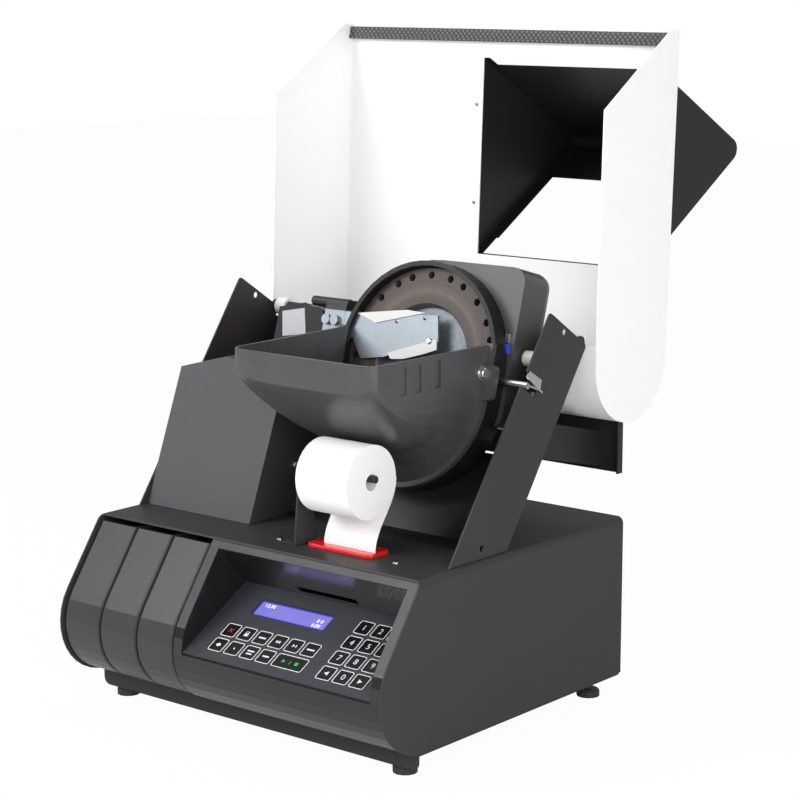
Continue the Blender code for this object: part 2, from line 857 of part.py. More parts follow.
def printer_mechanism():
    """Receipt printer that hangs under the hood, with a slot for the paper."""
    top, back, lip = recess_points()
    wall = (top - back).normalized()
    behind = back + Vector((wall[1], -wall[0])) * (housing_wall + run_gap)
    ceiling = hood_top - hood_sheet - seat_gap
    low = meet(behind, wall, (0, printer_bottom), (1, 0))
    middle_z = (printer_bottom + ceiling) / 2
    high = meet(behind, wall, (0, middle_z), (1, 0))
    outline = [low, high, (high[0], ceiling), (printer_rear, ceiling),
               (printer_rear, printer_bottom)]
    slot = block((web_left - slot_side, web_y - slot_depth / 2, middle_z),
                 (web_right + slot_side, web_y + slot_depth / 2, ceiling + overrun))
    return combine("printer_mechanism", prism(outline, printer_left, printer_right),
                   [("DIFFERENCE", slot)])


def paper_slot_bezel():
    """Rounded bezel on the hood with the slot that the paper goes through."""
    low = hood_top + seat_gap
    corners = [(bezel_left, bezel_front, bezel_corner), (bezel_right, bezel_front, bezel_corner),
               (bezel_right, bezel_rear, bezel_corner), (bezel_left, bezel_rear, bezel_corner)]
    plate = prism(filleted(corners), low, low + bezel_height, "Z")
    rim = [e for e in plate.edges if min(v.co.z for v in e.verts) > low + bezel_height / 2]
    bmesh.ops.bevel(plate, geom=rim, offset=bezel_height / 3, segments=2, profile=0.5,
                    affect="EDGES")
    slot = block((web_left - slot_side, web_y - slot_depth / 2, low - overrun),
                 (web_right + slot_side, web_y + slot_depth / 2, low + overrun))
    return combine("paper_slot_bezel", plate, [("DIFFERENCE", slot)])


def paper_roll():
    """Paper wound on a hollow core."""
    profile = [(roll_left, roll_bore), (roll_left, roll_radius), (roll_right, roll_radius),
               (roll_right, roll_bore)]
    return mesh_object("paper_roll", turned(profile, 40, (0, roll_y, roll_z)))


def paper_web():
    """Strip of paper from the rear of the roll down through the slot."""
    start = Vector((roll_y + roll_radius + seat_gap + web_thickness / 2, roll_z))
    end = Vector((web_y, hood_top))
    reach = (start[1] - end[1]) * web_bend_share
    pulls = [start, start - Vector((0, reach)), end + Vector((0, reach)), end]
    steps = 2 * arc_steps
    middle = []
    for i in range(steps + 1):
        t = i / steps
        weights = [(1 - t) ** 3, 3 * t * (1 - t) ** 2, 3 * t * t * (1 - t), t ** 3]
        middle.append(sum((p * w for p, w in zip(pulls, weights)), Vector((0, 0))))
    middle.append(end - Vector((0, web_end_drop)))
    front = []
    rear = []
    for i, point in enumerate(middle):
        ahead = middle[min(i + 1, len(middle) - 1)]
        along = (ahead - middle[max(i - 1, 0)]).normalized()
        side = Vector((along[1], -along[0])) * web_thickness / 2
        front.append(tuple(point + side))
        rear.append(tuple(point - side))
    return mesh_object("paper_web", prism(front + rear[::-1], web_left, web_right))


def spindle_height():
    """Height of the spindle, which the roll hangs on by its bore."""
    return roll_z + roll_bore - spindle_radius - seat_gap - run_gap / 2


def roll_holder():
    """Upright bracket with the roll's spindle and its nut."""
    low = hood_top + seat_gap
    z = spindle_height()
    right = roll_plate_left + roll_plate
    top_half = roll_plate_half / 2
    plate = filleted([(roll_y - roll_plate_half, low, 0), (roll_y + roll_plate_half, low, 0),
                      (roll_y + top_half, z + top_half, top_half / 2),
                      (roll_y - top_half, z + top_half, top_half / 2)])
    foot = block((roll_plate_left - roll_foot, roll_y - roll_plate_half, low),
                 (right, roll_y + roll_plate_half, low + roll_plate))
    spindle = rod(roll_plate_left - roll_nut / 2, roll_right + spindle_end, spindle_radius, 16,
                  (roll_y, z))
    nut = rod(roll_plate_left - roll_nut, roll_plate_left + roll_plate / 2, roll_nut_radius, 6,
              (roll_y, z))
    return combine("roll_holder", prism(plate, roll_plate_left, right),
                   [("UNION", foot), ("UNION", spindle), ("UNION", nut)])


# Parts inside and behind the base

def power_supply():
    """Supply board on posts, with its transformer block."""
    left = supply_left
    right = supply_left + supply_width
    rear = hood_depth - supply_rear_gap
    front = rear - supply_depth
    low = tray_floor_top + seat_gap
    board_low = low + supply_post
    board_top = board_low + display_board
    board = block((left, front, board_low), (right, rear, board_top))
    post = supply_post
    inside = board_low + display_board / 2
    changes = [("UNION", block((x, y, low), (x + post, y + post, inside)))
               for x in (left + seat_gap, right - seat_gap - post)
               for y in (front + seat_gap, rear - seat_gap - post)]
    transformer = block((left + 2 * post, front + 2 * post, inside),
                        (right - 4 * post, rear - 2 * post, low + supply_height))
    return combine("power_supply", board, changes + [("UNION", transformer)])


def inlet_face():
    """Outer face of the tray's rear wall."""
    return hood_depth - seat_gap


def power_inlet():
    """Mains inlet in the rear wall, with a socket below and a switch pocket above."""
    face = inlet_face() + seat_gap
    outer = face + inlet_flange_thickness
    half_x = inlet_width / 2
    half_z = inlet_height / 2
    flange = block((inlet_x - half_x - inlet_flange, face, inlet_z - half_z - inlet_flange),
                   (inlet_x + half_x + inlet_flange, outer, inlet_z + half_z + inlet_flange))
    body = block((inlet_x - half_x, face - inlet_depth, inlet_z - half_z),
                 (inlet_x + half_x, outer, inlet_z + half_z))
    socket_z = inlet_z - half_z / 2
    socket = block((inlet_x - socket_width / 2, outer - socket_depth,
                    socket_z - socket_height / 2),
                   (inlet_x + socket_width / 2, outer + overrun,
                    socket_z + socket_height / 2))
    rocker_z = inlet_z + half_z / 2
    pocket = block((inlet_x - rocker_width / 2 - run_gap, outer - 2 * rocker_depth,
                    rocker_z - rocker_height / 2 - run_gap),
                   (inlet_x + rocker_width / 2 + run_gap, outer + overrun,
                    rocker_z + rocker_height / 2 + run_gap))
    return combine("power_inlet", flange, [("UNION", body), ("DIFFERENCE", socket),
                                           ("DIFFERENCE", pocket)])


def rocker_pivot():
    """Middle of the rocker's axis."""
    face = inlet_face() + seat_gap + inlet_flange_thickness
    return (inlet_x, face - rocker_depth / 2, inlet_z + inlet_height / 4)


def power_switch():
    """Rocker with a hollow face, drawn pressed at its lower end."""
    pivot = rocker_pivot()
    half = rocker_height / 2
    deep = rocker_depth / 2
    outline = [(-deep, -half * 0.7), (deep, -half * 0.92), (deep * 0.6, 0),
               (deep, half * 0.92), (-deep, half * 0.7)]
    shape = prism(outline, -rocker_width / 2, rocker_width / 2)
    made = mesh_object("power_switch", shape)
    tilt = Matrix.Rotation(rocker_tilt, 4, "X")
    return made, Matrix.Translation(pivot) @ tilt


# Deck

deck = hood_top + seat_gap
lean = Vector((math.sin(plate_lean), math.cos(plate_lean)))
plate_front = Vector((plate_front_y, deck))
plate_rear = Vector((plate_rear_y, deck))
panel_y = plate_rear_y - plate_sheet / math.cos(plate_lean)
panel_frame = tilted((0, panel_y, deck), plate_lean)


def side_plate(side):
    """Leaning side plate; the right one has the notch for the latch's tongue."""
    top_front = plate_front + lean * plate_front_length
    top_rear = plate_rear + lean * plate_rear_length
    outline = filleted([(*plate_front, 0), (*plate_rear, 0), (*top_rear, plate_corner),
                        (*top_front, plate_corner)], 4)
    inner = side * plate_x
    outer = side * (plate_x + plate_sheet)
    start, end = sorted((inner, outer))
    across = Vector((lean[1], -lean[0]))
    edge = (top_rear - top_front).normalized()
    inward = Vector((edge[1], -edge[0]))
    high = top_front.lerp(top_rear, plate_hole_share) + inward * plate_hole_edge
    low = plate_front + lean * plate_hole_low + across * plate_hole_across
    changes = [("DIFFERENCE", rod(start - overrun, end + overrun, plate_hole_radius, 12, point))
               for point in (high, low)]
    if side > 0:
        notch = plate_front + lean * notch_along
        corners = [notch - across * notch_depth, notch + across * notch_depth,
                   notch + across * notch_depth + lean * notch_length,
                   notch - across * notch_depth + lean * notch_length]
        cut = prism([tuple(c) for c in corners], start - overrun, end + overrun)
        changes.append(("DIFFERENCE", cut))
    name = "side_plate_right" if side > 0 else "side_plate_left"
    return combine(name, prism(outline, start, end), changes)


def cross_panel():
    """Panel between the side plates, notched round the disc unit, with a foot."""
    half = plate_x - seat_gap
    outline = [(-half, 0), (half, 0), (half, panel_length), (panel_notch_right, panel_length),
               (panel_notch_right, panel_notch_start), (panel_notch_left, panel_notch_start),
               (panel_notch_left, panel_length), (-half, panel_length)]
    sheet = prism(outline, 0, plate_sheet, "Y")
    sheet.transform(panel_frame)
    foot = block((chute_right + run_gap, panel_y - panel_foot, deck),
                 (half, panel_y + plate_sheet, deck + plate_sheet))
    below = block((-half - overrun, panel_y - overrun, deck - overrun),
                  (half + overrun, panel_y + overrun, deck))
    return combine("cross_panel", sheet, [("UNION", foot), ("DIFFERENCE", below)])


def chute_cover():
    """Textured cover over the coin chutes: leaning front, two sides and a top lip."""
    def solid(inset, extra):
        low = deck - extra
        high = deck + chute_height_peak + overrun
        side = [(chute_front_y + inset + (low - deck) * math.tan(chute_lean), low),
                (panel_y - run_gap + extra + (low - deck) * math.tan(plate_lean), low),
                (panel_y - run_gap + extra + (high - deck) * math.tan(plate_lean), high),
                (chute_front_y + inset + (high - deck) * math.tan(chute_lean), high)]
        return prism(side, chute_left + inset, chute_right - inset)

    def under_roof(drop):
        roof = [(chute_left - overrun, deck - 2 * overrun),
                (chute_right + overrun, deck - 2 * overrun),
                (chute_right + overrun, deck + chute_height_right - drop),
                (chute_right, deck + chute_height_right - drop),
                (chute_peak_x, deck + chute_height_peak - drop),
                (chute_left, deck + chute_height_left - drop),
                (chute_left - overrun, deck + chute_height_left - drop)]
        return prism(roof, 0, chute_roof_reach, "Y")

    outer = mesh_object("outer", solid(0, 0))
    hollow = combine("hollow", solid(chute_sheet, overrun),
                     [("INTERSECT", under_roof(chute_sheet))])
    inside = bmesh.new()
    inside.from_mesh(hollow.data)
    shell = bmesh.new()
    shell.from_mesh(outer.data)
    bpy.data.meshes.remove(hollow.data)
    bpy.data.meshes.remove(outer.data)
    lip_rear = (chute_front_y + chute_height_left * math.tan(chute_lean) + chute_lip)
    mouth = block((chute_left + chute_sheet, lip_rear, deck + chute_height_right / 2),
                  (chute_right - chute_sheet, chute_roof_reach,
                   deck + chute_height_peak + 2 * overrun))
    return combine("chute_cover", shell, [("INTERSECT", under_roof(0)),
                                          ("DIFFERENCE", inside), ("DIFFERENCE", mouth)])


def hinge_tube():
    """Tube between the side plates, with an end disc at each plate."""
    end = plate_x - seat_gap
    inner = end - tube_cap
    profile = [(-end, 0), (-end, tube_cap_radius), (-inner, tube_cap_radius),
               (-inner, tube_radius), (inner, tube_radius), (inner, tube_cap_radius),
               (end, tube_cap_radius), (end, 0)]
    return mesh_object("hinge_tube", turned(profile, 16, (0, hinge_y, hinge_z)))


def rear_stop_panel():
    """Upright panel under the open cover, on two arms from the cross panel."""
    rear = stop_y + plate_sheet
    stop_top = wrap_z - wrap_radius - stop_under_cover
    sheet = block((-stop_half_width, stop_y, stop_bottom), (stop_half_width, rear, stop_top))
    changes = []
    for side in (-1, 1):
        end = sorted((side * stop_half_width, side * (stop_half_width - plate_sheet)))
        changes.append(("UNION", block((end[0], stop_y - stop_return, stop_bottom),
                                       (end[1], rear, stop_top))))
        low_z = stop_bottom + stop_arm_low
        high_z = low_z + stop_arm_height
        slope = (1, -stop_arm_rise)
        face = (panel_y + (plate_sheet + seat_gap) / math.cos(plate_lean), deck)
        low = meet(face, lean, (stop_y, low_z), slope)
        high = meet(face, lean, (stop_y, high_z), slope)
        arm = prism([low, (stop_y + plate_sheet / 2, low_z), (stop_y + plate_sheet / 2, high_z),
                     high], side * stop_arm_x - plate_sheet / 2,
                    side * stop_arm_x + plate_sheet / 2)
        changes.append(("UNION", arm))
    return combine("rear_stop_panel", sheet, changes)


# Disc unit

def capsule(radius, drop, steps=24):
    """Outline with a round top about the origin and a round bottom one drop lower."""
    return (arc((0, 0), radius, 0, 180, steps) + arc((0, -drop), radius, 180, 360, steps))


def disc_casing():
    """Round casing open at the front, with a shaft hole and a slot for the knife."""
    body = prism(capsule(can_radius, can_drop), -can_front, can_rear, "Y")
    inside = prism(capsule(can_radius - can_wall, can_drop), -can_front - overrun,
                   can_rear - can_back, "Y")
    hole = rod(-overrun, can_rear + overrun, shaft_radius + run_gap, 16, axis="Y")
    slot = block((-can_radius - overrun, -knife_front - run_gap,
                  knife_heel[1] - knife_slot_margin),
                 (knife_top_left[0], -knife_front + knife_thickness + run_gap,
                  knife_top_left[1] + knife_slot_margin))
    return combine("disc_casing", body, [("DIFFERENCE", inside), ("DIFFERENCE", hole),
                                         ("DIFFERENCE", slot)])


def pickup_disc():
    """Turning disc: a ring with groups of pickup holes round a sunk centre, on its shaft."""
    lead = disc_sunk / 4
    profile = [(disc_sunk, 0), (disc_sunk, disc_inner - lead), (lead / 2, disc_inner),
               (0, disc_inner + lead / 2), (0, disc_radius), (disc_thickness, disc_radius),
               (disc_thickness, shaft_radius), (disc_thickness + shaft_length, shaft_radius),
               (disc_thickness + shaft_length, 0)]
    holes = []
    for group in range(disc_groups):
        for offset in disc_group_angles:
            angle = offset + math.tau * group / disc_groups
            place_x = disc_hole_circle * math.sin(angle)
            place_z = disc_hole_circle * math.cos(angle)
            holes.append(rod(-overrun, disc_thickness + overrun, disc_hole_radius, 8,
                             (place_x, place_z), "Y"))
    return combine("pickup_disc", turned(profile, 48, axis="Y"),
                   [("DIFFERENCE", joined(holes))])


def disc_housing():
    """Large moulded housing behind the casing, with the motor's bay."""
    turn = 180 + math.degrees(math.asin(body_bottom / body_left_radius))
    left = arc((0, 0), body_left_radius, 90, turn, 16)
    corners = filleted([(body_right, -body_bottom, body_edge), (body_right, body_top,
                                                                body_corner),
                        (0, body_top, 0), (0, -body_bottom, 0)])
    outline = corners[:-2] + left
    body = prism(outline, body_front, body_rear, "Y")
    rim = [e for e in body.edges if min(v.co.y for v in e.verts) > body_rear - seat_gap]
    bmesh.ops.bevel(body, geom=rim, offset=body_edge, segments=3, profile=0.5,
                    affect="EDGES", clamp_overlap=True)
    seat = prism(capsule(can_radius + seat_gap, can_drop), body_front - overrun,
                 can_rear + seat_gap, "Y")
    bay = rod(can_rear + body_wall, body_rear - body_wall, gearbox_radius + seat_gap, 24,
              axis="Y")
    hole = rod(0, body_rear / 2, shaft_radius + run_gap, 16, axis="Y")
    return combine("disc_housing", body, [("DIFFERENCE", seat), ("DIFFERENCE", bay),
                                          ("DIFFERENCE", hole)])


def drive_motor():
    """Gear motor in the housing's bay, with a bore for the disc's shaft."""
    front = can_rear + body_wall + seat_gap
    middle = front + gearbox_length
    rear = middle + motor_length
    bore = disc_thickness + shaft_length + run_gap
    inner = shaft_radius + seat_gap
    profile = [(front, inner), (front, gearbox_radius), (middle, gearbox_radius),
               (middle, motor_radius), (rear, motor_radius), (rear, 0), (bore, 0),
               (bore, inner)]
    return mesh_object("drive_motor", turned(profile, 24, axis="Y"))


def unit_bracket():
    """Wedge-shaped tray of sheet that carries the casing on the cross panel."""
    back = can_rear + seat_gap
    can_point = (disc_y + back * math.cos(disc_tilt), disc_z - back * math.sin(disc_tilt))
    can_way = (math.sin(disc_tilt), math.cos(disc_tilt))
    panel_point = (panel_y - seat_gap / math.cos(plate_lean), deck)
    low = bracket_low
    high = deck + (panel_notch_start - run_gap) * math.cos(plate_lean)

    def wedge(inset, extra):
        front = (can_point[0] + inset, can_point[1])
        rear = (panel_point[0] - inset, panel_point[1])
        rows = [(0, low + inset), (0, high + extra)]
        ahead = [meet(front, can_way, row, (1, 0)) for row in rows]
        behind = [meet(rear, lean, row, (1, 0)) for row in rows]
        half = bracket_half_width - inset
        return prism([ahead[0], behind[0], behind[1], ahead[1]], disc_x - half,
                     disc_x + half)

    return combine("unit_bracket", wedge(0, 0), [("DIFFERENCE", wedge(plate_sheet, overrun))])


# Feed bowl

def eased(shares, table, share):
    """A smooth value between the stations of a table."""
    last = len(shares) - 1
    i = max(k for k in range(last) if shares[k] <= share or k == 0)
    span = shares[i + 1] - shares[i]
    t = (share - shares[i]) / span
    before = table[max(i - 1, 0)]
    gap_before = shares[i + 1] - shares[max(i - 1, 0)]
    after = table[min(i + 2, last)]
    gap_after = shares[min(i + 2, last)] - shares[i]
    slope = (table[i + 1] - before) / gap_before * span
    slope_after = (after - table[i]) / gap_after * span
    return ((2 * t ** 3 - 3 * t ** 2 + 1) * table[i] + (t ** 3 - 2 * t ** 2 + t) * slope
            + (3 * t ** 2 - 2 * t ** 3) * table[i + 1] + (t ** 3 - t ** 2) * slope_after)


def flange_plane_y(z):
    """World y of the bowl's rear plane at height z."""
    point_y = disc_y - flange_front * math.cos(disc_tilt)
    point_z = disc_z + flange_front * math.sin(disc_tilt)
    return point_y + (z - point_z) * math.tan(disc_tilt)


def bowl_depth():
    """Depth of the bowl below its rim at the disc."""
    low = disc_z + flange_front * math.sin(disc_tilt)
    low -= (can_drop + bowl_radius) * math.cos(disc_tilt)
    return bowl_rim - low


def bowl_ring(share, setback, inset, top):
    """One section of the bowl: straight walls that run into a rounded belly."""
    full = bowl_half_width + (bowl_radius - bowl_half_width) * share ** 2 - inset
    turn = bowl_corner - inset
    reach = min(setback, turn)
    half = full - turn + math.sqrt(turn ** 2 - (turn - reach) ** 2)
    depth = bowl_depth() * eased(bowl_station_shares, bowl_depth_shares, share) - inset
    curve = depth * eased(bowl_station_shares, bowl_curve_shares, share)
    power = eased(bowl_station_shares, bowl_powers, share)
    flat = [(half, top)]
    for i in range(9):
        angle = math.pi / 2 * i / 8
        wide = half * math.cos(angle) ** (2 / power)
        down = curve * math.sin(angle) ** (2 / power)
        flat.append((wide, bowl_rim - depth + curve - down))
    flat += [(-x, z) for x, z in flat[-2::-1]]
    front = bowl_front_y + inset
    ring = []
    for x, z in flat:
        base = min(z, bowl_rim)
        rear_y = flange_plane_y(base)
        y = front + (rear_y - front) * share
        ring.append((disc_x + x, y, z))
    return ring


def bowl_solid(inset, top, tail):
    """Closed body of the bowl, drawn in by the inset and run past its rear plane."""
    reach = flange_plane_y(bowl_rim) - bowl_front_y
    turn = bowl_corner - inset
    rings = []
    for k in range(5):
        setback = turn * (1 - math.cos(math.pi / 2 * k / 4))
        rings.append(bowl_ring(setback / reach, setback, inset, top))
    rings += [bowl_ring(share, turn, inset, top) for share in bowl_blend_shares
              if share * reach > turn]
    push = Vector((0, math.cos(disc_tilt), -math.sin(disc_tilt))) * tail
    rings.append([tuple(Vector(point) + push) for point in rings[-1]])
    return loft(rings)


def feed_bowl():
    """Moulded feed bowl: a shallow front that deepens to a round throat and flange."""
    outer = bowl_solid(0, bowl_rim, (flange_front - flange_back) / 2)
    inner = bowl_solid(bowl_wall, bowl_rim + overrun, flange_front)
    up = [(flange_radius, flange_top)]
    up += arc((0, -can_drop), flange_radius, 360, 180, 32)
    up += [(-flange_radius, flange_top)]
    flange = prism(up, -flange_front, -flange_back, "Y")
    flange.transform(unit_frame)
    changes = [("UNION", flange)]
    for side in (-1, 1):
        corners = [(side * ear_in, ear_bottom, 0), (side * ear_out, ear_bottom, ear_corner),
                   (side * ear_out, ear_top, ear_corner), (side * ear_in, ear_top, 0)]
        ear = prism(filleted(corners, 4), -flange_front - ear_proud,
                    -flange_back - ear_proud, "Y")
        ear.transform(unit_frame)
        changes.append(("UNION", ear))
    changes.append(("DIFFERENCE", inner))
    for y in groove_ys:
        groove = block((disc_x + bowl_half_width - groove_depth, y - groove_width / 2,
                        groove_bottom),
                       (disc_x + bowl_half_width + overrun, y + groove_width / 2, groove_top))
        changes.append(("DIFFERENCE", groove))
    return combine("feed_bowl", outer, changes)


# Sorting parts

def transfer_knife():
    """Flat plate that lifts coins off the disc and leads them out through the slot."""
    outline = [knife_top_left, knife_top_right, knife_low_right, knife_low_middle,
               knife_low_left, knife_heel, (knife_end, knife_heel[1]),
               (knife_end, knife_top_left[1])]
    shape = prism(outline, -knife_front, -knife_front + knife_thickness, "Y")
    return mesh_object("transfer_knife", shape)


def sort_rail():
    """Plated rail beside the casing with two wheels and a pair of solenoids."""
    right = knife_end - seat_gap
    left = right - rail_length
    back = -knife_front + knife_thickness
    bar_z = knife_top_left[1] + solenoid_radius / 2
    plate = block((left, -knife_front, knife_heel[1]), (right, back, bar_z + solenoid_radius))
    changes = []
    for x in (left + wheel_radius + seat_gap, right - 2 * wheel_radius):
        wheel = rod(-knife_front - wheel_thickness, back - knife_thickness / 2, wheel_radius,
                    16, (x, knife_top_left[1] - 2 * wheel_radius), "Y")
        changes.append(("UNION", wheel))
    first_y = back - knife_thickness / 2 + solenoid_radius
    for y in (first_y, first_y + 2 * solenoid_radius - knife_thickness):
        bar = rod(solenoid_left, right - seat_gap, solenoid_radius, 12,
                  (y, bar_z + solenoid_radius))
        changes.append(("UNION", bar))
    return combine("sort_rail", plate, changes)


def sensor_box():
    """Sensor box behind the rail, with a sloping top and a rounded shoulder."""
    corners = [(sensor_left, sensor_bottom, 0), (sensor_right, sensor_bottom, 0),
               (sensor_right, sensor_top - sensor_round, sensor_round / 4),
               (sensor_top_x + sensor_round, sensor_top - sensor_round / 4, sensor_round / 4),
               (sensor_top_x, sensor_top, 0), (sensor_left, sensor_shoulder, 0)]
    back = -knife_front + knife_thickness + seat_gap
    return mesh_object("sensor_box", prism(filleted(corners), back, back + sensor_depth, "Y"))


def cover_latch():
    """Rod from the casing to the side plate with the tongue that stands in the notch."""
    left = disc_x + can_radius + seat_gap
    right = plate_x - seat_gap
    bar = rod(left, right, latch_rod_radius, 16, (latch_rod_y, latch_rod_z))
    frame = tilted((0, plate_front_y, deck), plate_lean)
    spot = Vector((latch_rod_y, latch_rod_z)) - plate_front
    across = spot.dot(Vector((lean[1], -lean[0])))
    along = spot.dot(lean)
    point = (tongue_in + tongue_out) / 2
    outline = [(tongue_in, across - latch_rod_radius), (point, across - latch_rod_radius),
               (tongue_out, across + tongue_width / 2), (tongue_out, across + tongue_width),
               (tongue_in, across + tongue_width)]
    tongue = prism(outline, along - tongue_sheet / 2, along + tongue_sheet / 2, "Z")
    tongue.transform(frame)
    return combine("cover_latch", bar, [("UNION", tongue)])


# Cover

cover_normal = Vector((math.cos(cover_lean), -math.sin(cover_lean)))


def cover_back(z, offset=0.0):
    """y of the cover's outer panel face at height z, moved outward by the offset."""
    point = Vector((wrap_y, wrap_z)) + cover_normal * (wrap_radius + offset)
    return point[0] + (z - point[1]) * math.tan(cover_lean)


def cover_front(z, inset=0.0):
    """y of the cheeks' front edge at height z."""
    radius = wrap_radius - inset
    point_y = wrap_y - radius * math.cos(cover_front_lean)
    point_z = wrap_z + radius * math.sin(cover_front_lean)
    return point_y + (z - point_z) * math.tan(cover_front_lean)


def wrap_curve(inset):
    """Round lower end of the cover, from its front edge round to the panel."""
    start = 180 - math.degrees(cover_front_lean)
    end = 360 - math.degrees(cover_lean)
    return arc((wrap_y, wrap_z), wrap_radius - inset, start, end, 24)


def hopper_window(margin):
    """Cutter for the opening in the panel, drawn out by a margin."""
    middle = cover_back(cover_top)
    return block((window_left - margin, middle - 2 * overrun, window_bottom - margin),
                 (window_right + margin, middle + overrun, window_top + margin))


def cover_shell():
    """White cover: a panel that wraps round below to a lip, two cheeks and knuckles."""
    inner_half = cover_half_width - cover_sheet
    ahead = wrap_y - wrap_radius - overrun
    above = cover_top + overrun
    cheek = [(cover_front(cheek_shoulder_z), cheek_shoulder_z)] + wrap_curve(0)
    cheek += [(cover_back(cover_top), cover_top), (cheek_chamfer_y, cover_top)]
    hollow = [(ahead, wrap_lip_top), (cover_front(wrap_lip_top, cover_sheet), wrap_lip_top)]
    hollow += wrap_curve(cover_sheet)
    hollow += [(cover_back(above, -cover_sheet), above), (ahead, above)]
    changes = [("DIFFERENCE", prism(hollow, -inner_half, inner_half))]
    for side in (-1, 1):
        middle = side * knuckle_x
        knuckle = rod(middle - knuckle_width / 2, middle + knuckle_width / 2, knuckle_radius,
                      24, (hinge_y, hinge_z))
        changes.append(("UNION", knuckle))
    bore = rod(-knuckle_x - overrun, knuckle_x + overrun, tube_radius + seat_gap, 24,
               (hinge_y, hinge_z))
    changes.append(("DIFFERENCE", bore))
    for side in (-1, 1):
        edges = sorted((side * (plate_x - lip_relief_depth / 4), side * inner_half))
        relief = block((edges[0], hinge_y, wrap_lip_top - lip_relief_depth),
                       (edges[1], wrap_y - wrap_radius / 2, wrap_lip_top + overrun))
        changes.append(("DIFFERENCE", relief))
    changes.append(("DIFFERENCE", hopper_window(0)))
    body = prism(cheek, -cover_half_width, cover_half_width)
    return combine("cover_shell", body, changes)


def cover_hopper():
    """Black hopper behind the panel: a three-cornered box with a mouth in its low side."""
    left = window_left - hopper_side
    right = window_right + hopper_side

    def wedge(inset):
        high = hopper_high_z - inset
        low = hopper_low_z + inset
        tip_in = inset * math.sqrt(2)
        corners = [(cover_back(low, seat_gap + inset), low, 0),
                   (hopper_tip_y - tip_in, hopper_tip_z, hopper_tip_radius - inset),
                   (cover_back(high, seat_gap + inset), high, 0)]
        return prism(filleted(corners), left + inset, right - inset)

    low = Vector((cover_back(hopper_low_z, seat_gap), hopper_low_z))
    tip = Vector((hopper_tip_y, hopper_tip_z))
    across = Vector(((tip - low)[1], -(tip - low)[0])).normalized() * overrun
    start = low.lerp(tip, mouth_start_share)
    end = low.lerp(tip, mouth_end_share)
    mouth = prism([tuple(start - across), tuple(end - across), tuple(end + across),
                   tuple(start + across)], left + mouth_side, right - mouth_side)
    return combine("cover_hopper", wedge(0),
                   [("DIFFERENCE", wedge(hopper_sheet)), ("DIFFERENCE", hopper_window(seat_gap)),
                    ("DIFFERENCE", mouth)])


def cover_trim():
    """Ribbed strip along the top of the panel's inner face, thicker at its foot."""
    high = cover_top - trim_drop
    low = high - trim_height
    step = low + trim_lip_height
    seat = -cover_sheet - seat_gap
    half = cover_half_width - cover_sheet - seat_gap
    corners = [(cover_back(low, seat), low, 0), (cover_back(high, seat), high, 0),
               (cover_back(high, seat - trim_depth), high, trim_corner),
               (cover_back(step, seat - trim_depth), step, 0),
               (cover_back(step, seat - trim_lip_depth), step, trim_corner / 2),
               (cover_back(low, seat - trim_lip_depth), low, trim_corner)]
    return mesh_object("cover_trim", prism(filleted(corners, 3), -half, half))


# Assembly

def build():
    """Every piece, with its material and its origin."""
    black_steel = material("powder_coated_steel", (0.035, 0.035, 0.038), 0.45, 0.0)
    black_plastic = material("black_plastic", (0.05, 0.05, 0.055), 0.5, 0.0)
    charcoal = material("charcoal_texture", (0.1, 0.105, 0.115), 0.7, 0.0)
    grey_plastic = material("grey_plastic", (0.075, 0.075, 0.08), 0.45, 0.0)
    dark_panel = material("keypad_film", (0.03, 0.032, 0.037), 0.4, 0.0)
    key_face = material("key_face", (0.02, 0.02, 0.022), 0.4, 0.0)
    screen = material("display_glass", (0.33, 0.36, 0.85), 0.2, 0.0)
    red = material("red_plastic", (0.75, 0.03, 0.03), 0.35, 0.0)
    paper = material("paper", (0.9, 0.9, 0.9), 0.9, 0.0)
    steel = material("plated_steel", (0.7, 0.7, 0.7), 0.25, 1.0)
    worn = material("worn_disc", (0.12, 0.09, 0.075), 0.5, 0.3)
    white = material("white_steel", (0.85, 0.85, 0.85), 0.4, 0.0)
    rubber = material("trim_rubber", (0.05, 0.05, 0.05), 0.8, 0.0)

    finish(base_hood(), black_steel)
    finish(base_tray(), black_steel)
    for index in range(box_count):
        finish(coin_box(index), black_plastic)
    finish(coin_bay_frame(), black_steel)
    finish(control_housing(), black_plastic)
    finish(keypad_panel(), dark_panel, matrix=keypad_frame)
    for entry in key_table():
        made, frame = key(*entry)
        finish(made, key_face, matrix=frame)
    finish(display_module(), screen, matrix=keypad_frame)
    finish(printer_mechanism(), black_plastic)
    finish(paper_slot_bezel(), red)
    finish(paper_roll(), paper, (0, roll_y, roll_z))
    finish(paper_web(), paper)
    finish(roll_holder(), black_steel)
    finish(power_supply(), black_plastic)
    finish(power_inlet(), black_plastic)
    made, frame = power_switch()
    finish(made, black_plastic, matrix=frame)
    finish(side_plate(-1), black_steel)
    finish(side_plate(1), black_steel)
    finish(cross_panel(), black_steel)
    finish(chute_cover(), charcoal)
    finish(hinge_tube(), black_steel)
    finish(rear_stop_panel(), black_steel)
    finish(disc_casing(), black_plastic, matrix=unit_frame)
    finish(disc_housing(), black_plastic, matrix=unit_frame)
    finish(drive_motor(), steel, matrix=unit_frame)
    finish(pickup_disc(), worn, matrix=unit_frame)
    finish(unit_bracket(), black_steel)
    finish(feed_bowl(), grey_plastic)
    finish(transfer_knife(), steel, matrix=unit_frame)
    finish(sort_rail(), steel, matrix=unit_frame)
    finish(sensor_box(), black_plastic, matrix=unit_frame)
    finish(cover_latch(), steel)
    pivot = (0, hinge_y, hinge_z)
    finish(cover_shell(), white, pivot)
    finish(cover_hopper(), black_steel, pivot)
    finish(cover_trim(), rubber, pivot)


